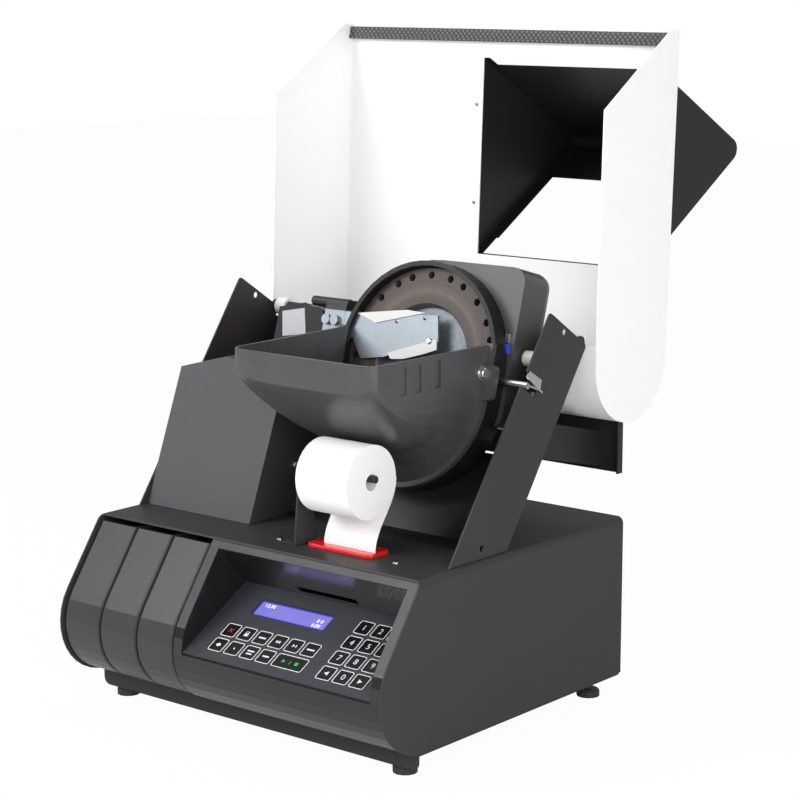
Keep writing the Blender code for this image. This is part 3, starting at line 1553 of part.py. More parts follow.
def centre_model():
    """Move everything so that y = 0 lies midway between the nose and the hopper's tip."""
    bpy.context.view_layer.update()
    pieces = list(bpy.data.objects)
    ys = [(made.matrix_world @ vertex.co).y for made in pieces for vertex in made.data.vertices]
    shift = Matrix.Translation((0, -(min(ys) + max(ys)) / 2, 0))
    for made in pieces:
        made.matrix_world = shift @ made.matrix_world


for old in list(bpy.data.objects):
    bpy.data.objects.remove(old)
build()
centre_model()
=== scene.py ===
# %% [markdown]
# A coin counter stands on a shop counter with its white cover swung open. This lesson dresses
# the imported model: every steel sheet, moulding, key and paper roll gets its real finish, and
# the small things that a hand would find, such as screws, printed keys and wires, are added.
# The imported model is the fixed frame. Nothing in it is moved, so each new piece takes its
# place from the boxes of the pieces that carry it.

# %% Load the frame
import json
import math

import bmesh
import bpy
from mathutils import Matrix, Vector


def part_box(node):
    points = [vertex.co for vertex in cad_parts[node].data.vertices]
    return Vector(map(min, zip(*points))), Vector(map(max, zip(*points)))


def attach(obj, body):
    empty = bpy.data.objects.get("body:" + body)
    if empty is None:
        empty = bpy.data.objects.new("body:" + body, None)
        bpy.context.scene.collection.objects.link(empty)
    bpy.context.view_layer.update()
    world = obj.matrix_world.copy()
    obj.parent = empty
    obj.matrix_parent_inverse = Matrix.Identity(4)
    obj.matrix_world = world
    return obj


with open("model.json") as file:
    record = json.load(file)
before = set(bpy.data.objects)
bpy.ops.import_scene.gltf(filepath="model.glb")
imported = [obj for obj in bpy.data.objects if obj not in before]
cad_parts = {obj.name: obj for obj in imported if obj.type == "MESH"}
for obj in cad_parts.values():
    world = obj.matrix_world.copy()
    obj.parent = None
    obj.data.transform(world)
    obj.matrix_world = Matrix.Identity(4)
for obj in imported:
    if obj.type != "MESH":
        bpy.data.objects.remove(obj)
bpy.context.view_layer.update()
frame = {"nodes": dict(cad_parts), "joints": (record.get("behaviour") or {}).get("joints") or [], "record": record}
nodes = frame["nodes"]
mm = 0.001

# %% [markdown]
# Three directions repeat on this object. The disc and its bowl lean back a little, the keys
# lie on a slope, and the tall side plates lean further. One helper makes a frame that leans
# the same way, so a printed mark can be placed with plain numbers, as a drawing gives them.

# %% Frames of the hood, the disc and the keypad
HOOD_DEPTH = 285 * mm
HOOD_TOP = 166.2 * mm
front_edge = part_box("base_hood")[1].y - HOOD_DEPTH
joint_of = {joint["name"]: joint for joint in frame["joints"]}


def leaning_frame(origin, angle):
    """A frame at a point, turned about X."""
    return Matrix.Translation(origin) @ Matrix.Rotation(angle, 4, "X")


disc_joint = joint_of["disc_spin"]
disc_lean = math.asin(disc_joint["axis"][2])
key_axis = joint_of["key_1_press"]["axis"]
key_slope = math.asin(key_axis[1])
print("disc leans", round(math.degrees(disc_lean), 1), "keys slope",
      round(math.degrees(key_slope), 1))

# %% [markdown]
# The camera stands to the right of the machine and a little above it, far back with a long
# lens, as a product photographer would place it. Its place was solved from the straight
# edges of the hood, and is given from the front edge of the hood's top.

# %% Camera
CAMERA_PLACE = Vector((1.2938, -1.3671, 0.6441))
CAMERA_AZIMUTH = math.radians(39.589)
CAMERA_DOWN = math.radians(10.645)
CAMERA_LENS = 102.62

camera_data = bpy.data.cameras.new("camera")
camera_data.sensor_width = 36
camera_data.lens = CAMERA_LENS
camera_data.clip_start = 0.05
camera = bpy.data.objects.new("camera", camera_data)
camera.location = CAMERA_PLACE + Vector((0, front_edge, 0))
camera.rotation_euler = (math.pi / 2 - CAMERA_DOWN, 0, CAMERA_AZIMUTH)
bpy.context.scene.collection.objects.link(camera)
bpy.context.scene.camera = camera
print("camera at", [round(c, 3) for c in camera.location])

# %% [markdown]
# The photograph has a bright white room. Here the world is white only where the camera sees
# it, and lights the object at a lower level. Three large soft lamps do the rest: one high at
# the front left, one at the right, and one above and behind for the rims.

# %% Lamps, world and floor
def new_nodes(material):
    """An emptied node tree with its material output, ready to wire."""
    material.use_nodes = True
    tree = material.node_tree
    tree.nodes.clear()
    return tree, tree.nodes.new("ShaderNodeOutputMaterial")


def wire(tree, source, target):
    """Link an output socket to an input socket."""
    tree.links.new(source, target)


def soft_lamp(name, place, size, watts, aim=Vector((0, 0, 0.25))):
    """A square area lamp that faces the machine."""
    data = bpy.data.lights.new(name, "AREA")
    data.shape = "SQUARE"
    data.size = size
    data.energy = watts
    lamp = bpy.data.objects.new(name, data)
    lamp.location = place
    lamp.rotation_euler = (aim - Vector(place)).to_track_quat("-Z", "Y").to_euler()
    bpy.context.scene.collection.objects.link(lamp)
    return lamp


soft_lamp("key_lamp", (-1.1, -1.9, 1.7), 1.4, 46)
soft_lamp("side_lamp", (1.9, -1.4, 0.8), 1.3, 36)
soft_lamp("top_lamp", (0.1, 0.9, 2.2), 1.6, 12)

WORLD_LEVEL = 0.4
world = bpy.data.worlds.new("studio")
world.use_nodes = True
tree = world.node_tree
tree.nodes.clear()
path = tree.nodes.new("ShaderNodeLightPath")
lit = tree.nodes.new("ShaderNodeBackground")
lit.inputs["Strength"].default_value = WORLD_LEVEL
seen = tree.nodes.new("ShaderNodeBackground")
mix = tree.nodes.new("ShaderNodeMixShader")
out = tree.nodes.new("ShaderNodeOutputWorld")
for background in (lit, seen):
    background.inputs["Color"].default_value = (1, 1, 1, 1)
wire(tree, path.outputs["Is Camera Ray"], mix.inputs[0])
wire(tree, lit.outputs[0], mix.inputs[1])
wire(tree, seen.outputs[0], mix.inputs[2])
wire(tree, mix.outputs[0], out.inputs["Surface"])
bpy.context.scene.world = world
bpy.context.scene.view_settings.view_transform = "Standard"

FLOOR_SIZE = 12.0
FLOOR_GLOW_SHARE = 0.965
floor_material = bpy.data.materials.new("studio_floor")
tree, out = new_nodes(floor_material)
path = tree.nodes.new("ShaderNodeLightPath")
plain = tree.nodes.new("ShaderNodeBsdfDiffuse")
plain.inputs["Color"].default_value = (0.85, 0.85, 0.85, 1)
glow = tree.nodes.new("ShaderNodeEmission")
share = tree.nodes.new("ShaderNodeMath")
share.operation = "MULTIPLY"
share.inputs[1].default_value = FLOOR_GLOW_SHARE
mix = tree.nodes.new("ShaderNodeMixShader")
wire(tree, path.outputs["Is Camera Ray"], share.inputs[0])
wire(tree, share.outputs[0], mix.inputs[0])
wire(tree, plain.outputs[0], mix.inputs[1])
wire(tree, glow.outputs[0], mix.inputs[2])
wire(tree, mix.outputs[0], out.inputs["Surface"])
floor_mesh = bpy.data.meshes.new("studio_floor")
half = FLOOR_SIZE / 2
floor_mesh.from_pydata([(-half, -half, 0), (half, -half, 0), (half, half, 0),
                        (-half, half, 0)], [], [(0, 1, 2, 3)])
floor_mesh.materials.append(floor_material)
floor = bpy.data.objects.new("studio_floor", floor_mesh)
bpy.context.scene.collection.objects.link(floor)
print("world level", WORLD_LEVEL)

# %% [markdown]
# Most of this machine is black, so its finishes differ by grain and gloss and hardly by
# colour. One helper builds them all: a base colour with faint blotches, a grain in the
# surface and a roughness that wanders. The grain's size is given in real millimetres.

# %% The finish helper
def blended(tree, factor, low, high):
    """A colour mix between two colours by a factor socket."""
    node = tree.nodes.new("ShaderNodeMix")
    node.data_type = "RGBA"
    node.inputs["A"].default_value = (*low, 1)
    node.inputs["B"].default_value = (*high, 1)
    if factor is not None:
        wire(tree, factor, node.inputs["Factor"])
    return node


def noise(tree, size, detail=2.0, roughness=0.5):
    """Noise on the object's own coordinates, with features of a real size."""
    place = tree.nodes.new("ShaderNodeTexCoord")
    node = tree.nodes.new("ShaderNodeTexNoise")
    node.inputs["Scale"].default_value = 1 / size
    node.inputs["Detail"].default_value = detail
    node.inputs["Roughness"].default_value = roughness
    wire(tree, place.outputs["Object"], node.inputs["Vector"])
    return node


def spread(tree, socket, low, high, from_low=0.0, from_high=1.0):
    """Map a value to another range."""
    node = tree.nodes.new("ShaderNodeMapRange")
    node.inputs["From Min"].default_value = from_low
    node.inputs["From Max"].default_value = from_high
    node.inputs["To Min"].default_value = low
    node.inputs["To Max"].default_value = high
    wire(tree, socket, node.inputs["Value"])
    return node.outputs["Result"]


def finish(name, colour, roughness, metallic=0.0, grain=0.8 * mm, depth=0.03 * mm,
           blotch=0.15, blotch_size=40 * mm, gloss_wander=0.06, specular=0.5, coat=0.0):
    """A surface with blotches, a fine grain and a roughness that wanders."""
    material = bpy.data.materials.new(name)
    tree, out = new_nodes(material)
    shader = tree.nodes.new("ShaderNodeBsdfPrincipled")
    shader.inputs["Metallic"].default_value = metallic
    shader.inputs["Specular IOR Level"].default_value = specular
    shader.inputs["Coat Weight"].default_value = coat
    clouds = noise(tree, blotch_size, 3.0)
    dark = tuple(c * (1 - blotch) for c in colour)
    light = tuple(min(1.0, c * (1 + blotch)) for c in colour)
    tint = blended(tree, clouds.outputs["Fac"], dark, light)
    wire(tree, tint.outputs["Result"], shader.inputs["Base Color"])
    wander = spread(tree, clouds.outputs["Fac"], roughness - gloss_wander,
                    roughness + gloss_wander)
    wire(tree, wander, shader.inputs["Roughness"])
    if depth > 0:
        grains = noise(tree, grain, 2.0)
        bump = tree.nodes.new("ShaderNodeBump")
        bump.inputs["Strength"].default_value = 1.0
        bump.inputs["Distance"].default_value = depth
        wire(tree, grains.outputs["Fac"], bump.inputs["Height"])
        wire(tree, bump.outputs["Normal"], shader.inputs["Normal"])
    wire(tree, shader.outputs["BSDF"], out.inputs["Surface"])
    return material


def dress(material, *names):
    """Give a CAD node its finish."""
    for name in names:
        nodes[name].data.materials.clear()
        nodes[name].data.materials.append(material)


print("helpers ready")

# %% [markdown]
# The steel of the base and the deck has one satin powder coat, and the mouldings have a spark
# texture. The cover over the chutes has a coarse wrinkled coat, which needs a deeper bump.
# Each CAD node keeps its shape, and only the material in its slot changes.

# %% Coats and plastics on the CAD pieces
black_coat = finish("powder_coated_steel", (0.04, 0.04, 0.041), 0.46, grain=0.45 * mm,
                    depth=0.025 * mm, blotch=0.08, specular=0.16)
plate_coat = finish("plate_coat", (0.032, 0.03, 0.028), 0.5, grain=0.5 * mm,
                    depth=0.03 * mm, blotch=0.08, specular=0.3)
hopper_coat = finish("hopper_coat", (0.016, 0.016, 0.017), 0.42, grain=0.5 * mm,
                     depth=0.02 * mm, blotch=0.08, specular=0.28)
box_plastic = finish("box_plastic", (0.028, 0.028, 0.031), 0.36, grain=0.6 * mm,
                     depth=0.06 * mm, blotch=0.1)
inner_plastic = finish("inner_plastic", (0.018, 0.018, 0.02), 0.35, grain=0.7 * mm,
                       depth=0.03 * mm)
wrinkle_coat = finish("wrinkle_coat", (0.05, 0.051, 0.056), 0.5, grain=1.1 * mm,
                      depth=0.22 * mm, blotch=0.12)
casing_plastic = finish("casing_plastic", (0.011, 0.011, 0.012), 0.38, grain=0.8 * mm,
                        depth=0.03 * mm, specular=0.28)
motor_plastic = finish("motor_plastic", (0.055, 0.053, 0.055), 0.34, grain=0.9 * mm,
                       depth=0.05 * mm)
bowl_plastic = finish("bowl_plastic", (0.058, 0.056, 0.059), 0.36, grain=1.2 * mm,
                      depth=0.035 * mm, blotch=0.2, blotch_size=25 * mm, gloss_wander=0.1)
white_coat = finish("white_coat", (0.88, 0.88, 0.88), 0.42, grain=0.5 * mm,
                    depth=0.015 * mm, blotch=0.012)
red_plastic = finish("red_plastic", (0.72, 0.012, 0.016), 0.24, grain=1.5 * mm,
                     depth=0.0, blotch=0.06, coat=0.4)
dress(black_coat, "base_hood", "base_tray", "coin_bay_frame", "hinge_tube",
      "roll_holder", "unit_bracket")
dress(hopper_coat, "cover_hopper", "rear_stop_panel", "cross_panel")
dress(plate_coat, "side_plate_left", "side_plate_right")
dress(box_plastic, "coin_box_1", "coin_box_2", "coin_box_3")
dress(inner_plastic, "printer_mechanism", "power_supply", "power_inlet", "power_switch")
dress(wrinkle_coat, "chute_cover")
dress(casing_plastic, "disc_casing", "sensor_box")
dress(motor_plastic, "disc_housing")
dress(bowl_plastic, "feed_bowl")
dress(white_coat, "cover_shell")
dress(red_plastic, "paper_slot_bezel")
print("finishes so far", len(bpy.data.materials))

# %% [markdown]
# The housing is one moulding with two looks: its outside has the spark texture, and the walls
# of the keypad recess are polished. A mask from the position decides between them, because
# the recess lies behind the slanted front. The slant is a given angle.

# %% The control housing
HOUSING_LEAN = math.radians(34.9)
RECESS_LEFT = -35 * mm
SKIN = 0.6 * mm
SKIN_BEHIND = 1.6 * mm
POLISHED_ROUGHNESS = 0.16
POLISHED_GRAIN = 0.1


def dot(tree, socket, direction, offset):
    """The part of a position along a direction, less an offset."""
    product = tree.nodes.new("ShaderNodeVectorMath")
    product.operation = "DOT_PRODUCT"
    product.inputs[1].default_value = direction
    wire(tree, socket, product.inputs[0])
    less = tree.nodes.new("ShaderNodeMath")
    less.operation = "SUBTRACT"
    less.inputs[1].default_value = offset
    wire(tree, product.outputs["Value"], less.inputs[0])
    return less.outputs[0]


slant = Vector((0, math.cos(HOUSING_LEAN), -math.sin(HOUSING_LEAN)))
hood_edge = Vector((0, front_edge, HOOD_TOP))
housing_plastic = finish("housing_plastic", (0.012, 0.012, 0.013), 0.42, grain=0.6 * mm,
                         depth=0.06 * mm, blotch=0.1)
tree = housing_plastic.node_tree
shader = next(node for node in tree.nodes if node.type == "BSDF_PRINCIPLED")
bump = next(node for node in tree.nodes if node.type == "BUMP")
place = tree.nodes.new("ShaderNodeTexCoord")
behind = dot(tree, place.outputs["Object"], slant, hood_edge.dot(slant) + SKIN_BEHIND)
inside = spread(tree, behind, 0, 1, 0, SKIN)
smooth = spread(tree, inside, 1.0, POLISHED_GRAIN)
wire(tree, smooth, bump.inputs["Strength"])
gloss = tree.nodes.new("ShaderNodeMix")
gloss.inputs["B"].default_value = POLISHED_ROUGHNESS
wire(tree, inside, gloss.inputs["Factor"])
wire(tree, shader.inputs["Roughness"].links[0].from_socket, gloss.inputs["A"])
wire(tree, gloss.outputs["Result"], shader.inputs["Roughness"])
dress(housing_plastic, "control_housing")
print("slant", [round(c, 3) for c in slant])

# %% [markdown]
# Bare metal comes in three states here. The knife and the motor are zinc plated with a faint
# grain, the latch and rod are brighter, and the disc is coated and then worn by coins. The
# wear runs in rings, so its pattern reads the distance from the disc's own axis.

# %% Metals
def brushed(name, colour, roughness, direction, depth=0.01 * mm, metallic=1.0):
    """Metal with fine scratches along one direction."""
    material = bpy.data.materials.new(name)
    tree, out = new_nodes(material)
    shader = tree.nodes.new("ShaderNodeBsdfPrincipled")
    shader.inputs["Metallic"].default_value = metallic
    place = tree.nodes.new("ShaderNodeTexCoord")
    stretch = tree.nodes.new("ShaderNodeMapping")
    stretch.inputs["Scale"].default_value = direction
    wire(tree, place.outputs["Object"], stretch.inputs["Vector"])
    lines = tree.nodes.new("ShaderNodeTexNoise")
    lines.inputs["Scale"].default_value = 1 / (6 * mm)
    lines.inputs["Detail"].default_value = 3
    wire(tree, stretch.outputs["Vector"], lines.inputs["Vector"])
    clouds = noise(tree, 12 * mm, 3.0)
    tint = blended(tree, clouds.outputs["Fac"], tuple(c * 0.82 for c in colour), colour)
    wire(tree, tint.outputs["Result"], shader.inputs["Base Color"])
    wire(tree, spread(tree, lines.outputs["Fac"], roughness - 0.08, roughness + 0.1),
         shader.inputs["Roughness"])
    bump = tree.nodes.new("ShaderNodeBump")
    bump.inputs["Distance"].default_value = depth
    wire(tree, lines.outputs["Fac"], bump.inputs["Height"])
    wire(tree, bump.outputs["Normal"], shader.inputs["Normal"])
    wire(tree, shader.outputs["BSDF"], out.inputs["Surface"])
    return material


zinc = brushed("zinc_plate", (0.3, 0.335, 0.37), 0.42, (0.15, 6, 6), metallic=0.85)
bright_steel = brushed("bright_steel", (0.62, 0.62, 0.62), 0.24, (1, 4, 4))
motor_metal = brushed("motor_metal", (0.35, 0.35, 0.36), 0.4, (5, 1, 5))
dress(zinc, "transfer_knife", "sort_rail")
dress(bright_steel, "cover_latch")
dress(motor_metal, "drive_motor")

DISC_RADIUS = 81.5 * mm
DISC_INNER = 49.3 * mm
BAND_RADIUS = 61 * mm
worn_disc = bpy.data.materials.new("worn_disc")
tree, out = new_nodes(worn_disc)
shader = tree.nodes.new("ShaderNodeBsdfPrincipled")
shader.inputs["Specular IOR Level"].default_value = 0.5
place = tree.nodes.new("ShaderNodeTexCoord")
centred = tree.nodes.new("ShaderNodeMapping")
centred.vector_type = "TEXTURE"
centred.inputs["Location"].default_value = disc_joint["pos_m"]
centred.inputs["Rotation"].default_value = (-disc_lean, 0, 0)
wire(tree, place.outputs["Object"], centred.inputs["Vector"])
flat = tree.nodes.new("ShaderNodeVectorMath")
flat.operation = "MULTIPLY"
flat.inputs[1].default_value = (1, 0, 1)
wire(tree, centred.outputs["Vector"], flat.inputs[0])
reach = tree.nodes.new("ShaderNodeVectorMath")
reach.operation = "LENGTH"
wire(tree, flat.outputs["Vector"], reach.inputs[0])
radius = reach.outputs["Value"]
scuffs = noise(tree, 9 * mm, 6.0, 0.65)
stains = noise(tree, 3 * mm, 4.0, 0.6)
ring = blended(tree, scuffs.outputs["Fac"], (0.02, 0.015, 0.013), (0.1, 0.076, 0.066))
band_in = spread(tree, radius, 0, 1, BAND_RADIUS - 5 * mm, BAND_RADIUS)
band_out = spread(tree, radius, 1, 0, BAND_RADIUS, BAND_RADIUS + 7 * mm)
band = tree.nodes.new("ShaderNodeMath")
band.operation = "MULTIPLY"
wire(tree, band_in, band.inputs[0])
wire(tree, band_out, band.inputs[1])
band_mix = tree.nodes.new("ShaderNodeMath")
band_mix.operation = "MULTIPLY"
wire(tree, band.outputs[0], band_mix.inputs[0])
wire(tree, scuffs.outputs["Fac"], band_mix.inputs[1])
banded = blended(tree, band_mix.outputs[0], (0, 0, 0), (0.15, 0.115, 0.1))
wire(tree, ring.outputs["Result"], banded.inputs["A"])
centre = blended(tree, stains.outputs["Fac"], (0.09, 0.105, 0.12), (0.28, 0.31, 0.34))
is_centre = spread(tree, radius, 1, 0, DISC_INNER - 0.6 * mm, DISC_INNER + 0.6 * mm)
face = blended(tree, is_centre, (0, 0, 0), (0, 0, 0))
wire(tree, banded.outputs["Result"], face.inputs["A"])
wire(tree, centre.outputs["Result"], face.inputs["B"])
wire(tree, face.outputs["Result"], shader.inputs["Base Color"])
wire(tree, spread(tree, is_centre, 0.1, 0.6), shader.inputs["Metallic"])
wire(tree, spread(tree, scuffs.outputs["Fac"], 0.3, 0.62), shader.inputs["Roughness"])
rings = tree.nodes.new("ShaderNodeTexWave")
rings.wave_type = "RINGS"
rings.rings_direction = "Y"
rings.inputs["Scale"].default_value = 1 / (3 * mm) / 6
rings.inputs["Distortion"].default_value = 1.5
wire(tree, centred.outputs["Vector"], rings.inputs["Vector"])
bump = tree.nodes.new("ShaderNodeBump")
bump.inputs["Distance"].default_value = 0.03 * mm
wire(tree, rings.outputs["Fac"], bump.inputs["Height"])
wire(tree, bump.outputs["Normal"], shader.inputs["Normal"])
wire(tree, shader.outputs["BSDF"], out.inputs["Surface"])
dress(worn_disc, "pickup_disc")
print("disc ring from", DISC_INNER, "to", DISC_RADIUS)

# %% [markdown]
# Paper is matt and slightly translucent, and a roll's end shows the edges of its turns as
# fine rings. The keypad film is satin, and the trim strip is pressed with a fine herringbone.

# %% Paper, keypad film and trim
paper = bpy.data.materials.new("paper")
tree, out = new_nodes(paper)
shader = tree.nodes.new("ShaderNodeBsdfPrincipled")
shader.inputs["Roughness"].default_value = 0.75
shader.inputs["Specular IOR Level"].default_value = 0.2
fibres = noise(tree, 2.5 * mm, 4.0)
tint = blended(tree, fibres.outputs["Fac"], (0.86, 0.86, 0.85), (0.91, 0.91, 0.91))
wire(tree, tint.outputs["Result"], shader.inputs["Base Color"])
roll_centre = joint_of["roll_spin"]["pos_m"]
place = tree.nodes.new("ShaderNodeTexCoord")
centred = tree.nodes.new("ShaderNodeMapping")
centred.vector_type = "TEXTURE"
centred.inputs["Location"].default_value = roll_centre
wire(tree, place.outputs["Object"], centred.inputs["Vector"])
turns = tree.nodes.new("ShaderNodeTexWave")
turns.wave_type = "RINGS"
turns.rings_direction = "X"
turns.inputs["Scale"].default_value = 1 / (1.6 * mm) / 6
turns.inputs["Distortion"].default_value = 0.6
wire(tree, centred.outputs["Vector"], turns.inputs["Vector"])
bump = tree.nodes.new("ShaderNodeBump")
bump.inputs["Strength"].default_value = 0.35
bump.inputs["Distance"].default_value = 0.05 * mm
wire(tree, turns.outputs["Fac"], bump.inputs["Height"])
wire(tree, bump.outputs["Normal"], shader.inputs["Normal"])
wire(tree, shader.outputs["BSDF"], out.inputs["Surface"])
dress(paper, "paper_roll", "paper_web")

keypad_film = finish("keypad_film", (0.045, 0.047, 0.056), 0.34, grain=0.35 * mm,
                     depth=0.012 * mm, blotch=0.06)
key_face = finish("key_face", (0.007, 0.007, 0.008), 0.22, grain=0.4 * mm, depth=0.004 * mm,
                  blotch=0.05)
dress(keypad_film, "keypad_panel")
dress(key_face, *[name for name in nodes if name.startswith("key_")])

trim_rubber = bpy.data.materials.new("trim_rubber")
tree, out = new_nodes(trim_rubber)
shader = tree.nodes.new("ShaderNodeBsdfPrincipled")
shader.inputs["Roughness"].default_value = 0.55
place = tree.nodes.new("ShaderNodeTexCoord")
heights = []
for slope in (1, -1):
    weave = tree.nodes.new("ShaderNodeMapping")
    weave.inputs["Rotation"].default_value = (0, slope * math.radians(45), 0)
    wire(tree, place.outputs["Object"], weave.inputs["Vector"])
    bars = tree.nodes.new("ShaderNodeTexWave")
    bars.bands_direction = "X"
    bars.inputs["Scale"].default_value = 1 / (2 * mm) / 6
    wire(tree, weave.outputs["Vector"], bars.inputs["Vector"])
    heights.append(bars.outputs["Fac"])
cross = tree.nodes.new("ShaderNodeMath")
cross.operation = "MULTIPLY"
wire(tree, heights[0], cross.inputs[0])
wire(tree, heights[1], cross.inputs[1])
tint = blended(tree, cross.outputs[0], (0.035, 0.035, 0.037), (0.2, 0.2, 0.21))
wire(tree, tint.outputs["Result"], shader.inputs["Base Color"])
bump = tree.nodes.new("ShaderNodeBump")
bump.inputs["Distance"].default_value = 0.4 * mm
wire(tree, cross.outputs[0], bump.inputs["Height"])
wire(tree, bump.outputs["Normal"], shader.inputs["Normal"])
wire(tree, shader.outputs["BSDF"], out.inputs["Surface"])
dress(trim_rubber, "cover_trim")
print("nodes dressed", sum(1 for node in nodes.values() if node.data.materials))

# %% [markdown]
# Small pieces are cheap to build in mesh code once three tools exist: a block with soft
# edges, a turned form such as a knob, and a flat printed mark. Each works in a local frame,
# and the finished mesh keeps its place in its own points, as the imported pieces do.

# %% Tools for small pieces
TURN_STEPS = 28
MARK_HEIGHT = 0.06 * mm


def put(name, bm, material, body):
    """Make a mesh object from the bmesh and let it ride on a body."""
    bmesh.ops.recalc_face_normals(bm, faces=bm.faces)
    mesh = bpy.data.meshes.new(name)
    bm.to_mesh(mesh)
    bm.free()
    mesh.materials.append(material)
    piece = bpy.data.objects.new(name, mesh)
    bpy.context.scene.collection.objects.link(piece)
    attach(piece, body)
    return piece


def block(bm, place, size, soft=0.4 * mm):
    """A block with rounded edges, centred on its frame."""
    made = bmesh.ops.create_cube(bm, size=1, matrix=place @ Matrix.Diagonal((*size, 1)))
    edges = {edge for vert in made["verts"] for edge in vert.link_edges}
    bmesh.ops.bevel(bm, geom=list(edges), offset=soft, segments=2, profile=0.5,
                    affect="EDGES")


def lathe(bm, place, profile, steps=TURN_STEPS):
    """Turn a profile of (radius, height) pairs round the frame's Z axis."""
    rings = []
    for radius, height in profile:
        count = 1 if radius == 0 else steps
        rings.append([bm.verts.new(place @ Vector((radius * math.cos(math.tau * i / steps),
                                                   radius * math.sin(math.tau * i / steps),
                                                   height))) for i in range(count)])
    for low, high in zip(rings, rings[1:]):
        for i in range(steps):
            loop = [low[i % len(low)], low[(i + 1) % len(low)],
                    high[(i + 1) % len(high)], high[i % len(high)]]
            corners = [v for k, v in enumerate(loop) if v not in loop[:k]]
            if len(corners) > 2:
                bm.faces.new(corners)


def slab(bm, place, outline, low, high):
    """A flat printed mark with the given outline, between two heights."""
    bottom = [bm.verts.new(place @ Vector((u, v, low))) for u, v in outline]
    top = [bm.verts.new(place @ Vector((u, v, high))) for u, v in outline]
    bm.faces.new(bottom)
    bm.faces.new(top)
    for i in range(len(outline)):
        j = (i + 1) % len(outline)
        bm.faces.new([bottom[i], bottom[j], top[j], top[i]])


def rounded(width, height, radius, steps=5):
    """Points of a rectangle with rounded corners."""
    points = []
    for k, (sx, sy) in enumerate(((1, 1), (-1, 1), (-1, -1), (1, -1))):
        for i in range(steps + 1):
            turn = math.pi / 2 * (k + i / steps)
            points.append((sx * (width / 2 - radius) + radius * math.cos(turn),
                           sy * (height / 2 - radius) + radius * math.sin(turn)))
    return points


def ring(bm, place, outer, inner, low, high):
    """A closed band between two outlines with as many points."""
    rows = [[bm.verts.new(place @ Vector((u, v, z))) for u, v in line]
            for line, z in ((outer, low), (outer, high), (inner, high), (inner, low))]
    for a, b in zip(rows, rows[1:] + rows[:1]):
        for i in range(len(outer)):
            j = (i + 1) % len(outer)
            bm.faces.new([a[i], a[j], b[j], b[i]])


def lettered(bm, place, words, size, height):
    """Digits as a thin raised mesh, centred on the frame."""
    curve = bpy.data.curves.new("digits", "FONT")
    curve.body = words
    curve.size = size
    curve.align_x = "CENTER"
    curve.align_y = "CENTER"
    curve.extrude = height / 2
    curve.resolution_u = 3
    stand_in = bpy.data.objects.new("digits", curve)
    bpy.context.scene.collection.objects.link(stand_in)
    depsgraph = bpy.context.evaluated_depsgraph_get()
    mesh = bpy.data.meshes.new_from_object(stand_in.evaluated_get(depsgraph))
    mesh.transform(place @ Matrix.Translation((0, 0, height / 2)))
    bm.from_mesh(mesh)
    bpy.data.objects.remove(stand_in)
    bpy.data.curves.remove(curve)
    bpy.data.meshes.remove(mesh)


print("tools for small pieces ready")

# %% [markdown]
# The keys are printed. Each has a white rounded outline and a white mark, red on the cancel
# key and green on the wide start key. The marks are thin raised ink, so every print rides on
# its own key and goes down with it. Only digits and plain signs are printed.

# %% Printed key faces
KEY_HEIGHT = 15.2 * mm
KEY_ROUND = 2.2 * mm
KEY_TOP = 0.6 * mm
KEY_DIGIT = 8.2 * mm
LINE = 0.75 * mm
SIGN = 2.3 * mm
white_ink = finish("white_ink", (0.78, 0.79, 0.8), 0.5, depth=0.0, blotch=0.03)
red_ink = finish("red_ink", (0.62, 0.03, 0.03), 0.5, depth=0.0, blotch=0.05)
green_ink = finish("green_ink", (0.02, 0.5, 0.12), 0.5, depth=0.0, blotch=0.05)


def bar(u, v, width, height):
    """Corner points of a small printed bar."""
    return [(u - width / 2, v - height / 2), (u + width / 2, v - height / 2),
            (u + width / 2, v + height / 2), (u - width / 2, v + height / 2)]


def arrow(side, u=0.0, size=SIGN):
    """A triangle that points left (-1) or right (1)."""
    return [(u - side * size * 0.8, -size), (u + side * size, 0), (u - side * size * 0.8, size)]


def disc_sign(u, v, radius, steps=16):
    """Points of a printed dot."""
    return [(u + radius * math.cos(math.tau * i / steps),
             v + radius * math.sin(math.tau * i / steps)) for i in range(steps)]


thin = 0.55 * mm
signs = {
    "cancel": [[(-SIGN, -SIGN + thin), (-SIGN + thin, -SIGN), (SIGN, SIGN - thin),
                (SIGN - thin, SIGN)],
               [(-SIGN, SIGN - thin), (-SIGN + thin, SIGN), (SIGN, -SIGN + thin),
                (SIGN - thin, -SIGN)]],
    "lock": [bar(0, -0.9 * mm, 4.2 * mm, 3.2 * mm), bar(-1.4 * mm, 1.6 * mm, thin, 1.9 * mm),
             bar(1.4 * mm, 1.6 * mm, thin, 1.9 * mm), bar(0, 2.7 * mm, 3.3 * mm, thin)],
    "print": [bar(0, 0, 7.5 * mm, 1.6 * mm)],
    "batch": [bar(-1.4 * mm, 0, 2 * mm, 2.4 * mm), bar(1.4 * mm, 0, 2 * mm, 2.4 * mm)],
    "step": [arrow(1, -0.8 * mm, 1.6 * mm), bar(2 * mm, 0, 1 * mm, 2.8 * mm)],
    "enter": [bar(0, 0, 8 * mm, 1.6 * mm)],
    "mode": [[(-3 * mm, 0), (0, -2.2 * mm), (3 * mm, 0), (0, 2.2 * mm)]],
    "dot": [disc_sign(0, 0, 0.9 * mm)],
    "paper": [bar(0, 1.6 * mm, 7.5 * mm, 1.5 * mm), bar(0, -1.6 * mm, 6 * mm, 1.5 * mm)],
    "report": [bar(0, 0, 7 * mm, 1.6 * mm)],
    "start": [arrow(1, -7 * mm, 1.9 * mm), bar(0, 0, 0.7 * mm, 4 * mm),
              bar(7 * mm, 0, 3.4 * mm, 3.4 * mm)],
    "left": [arrow(-1)],
    "right": [arrow(1)],
}
inks = {"cancel": red_ink, "start": green_ink}
key_count = 0
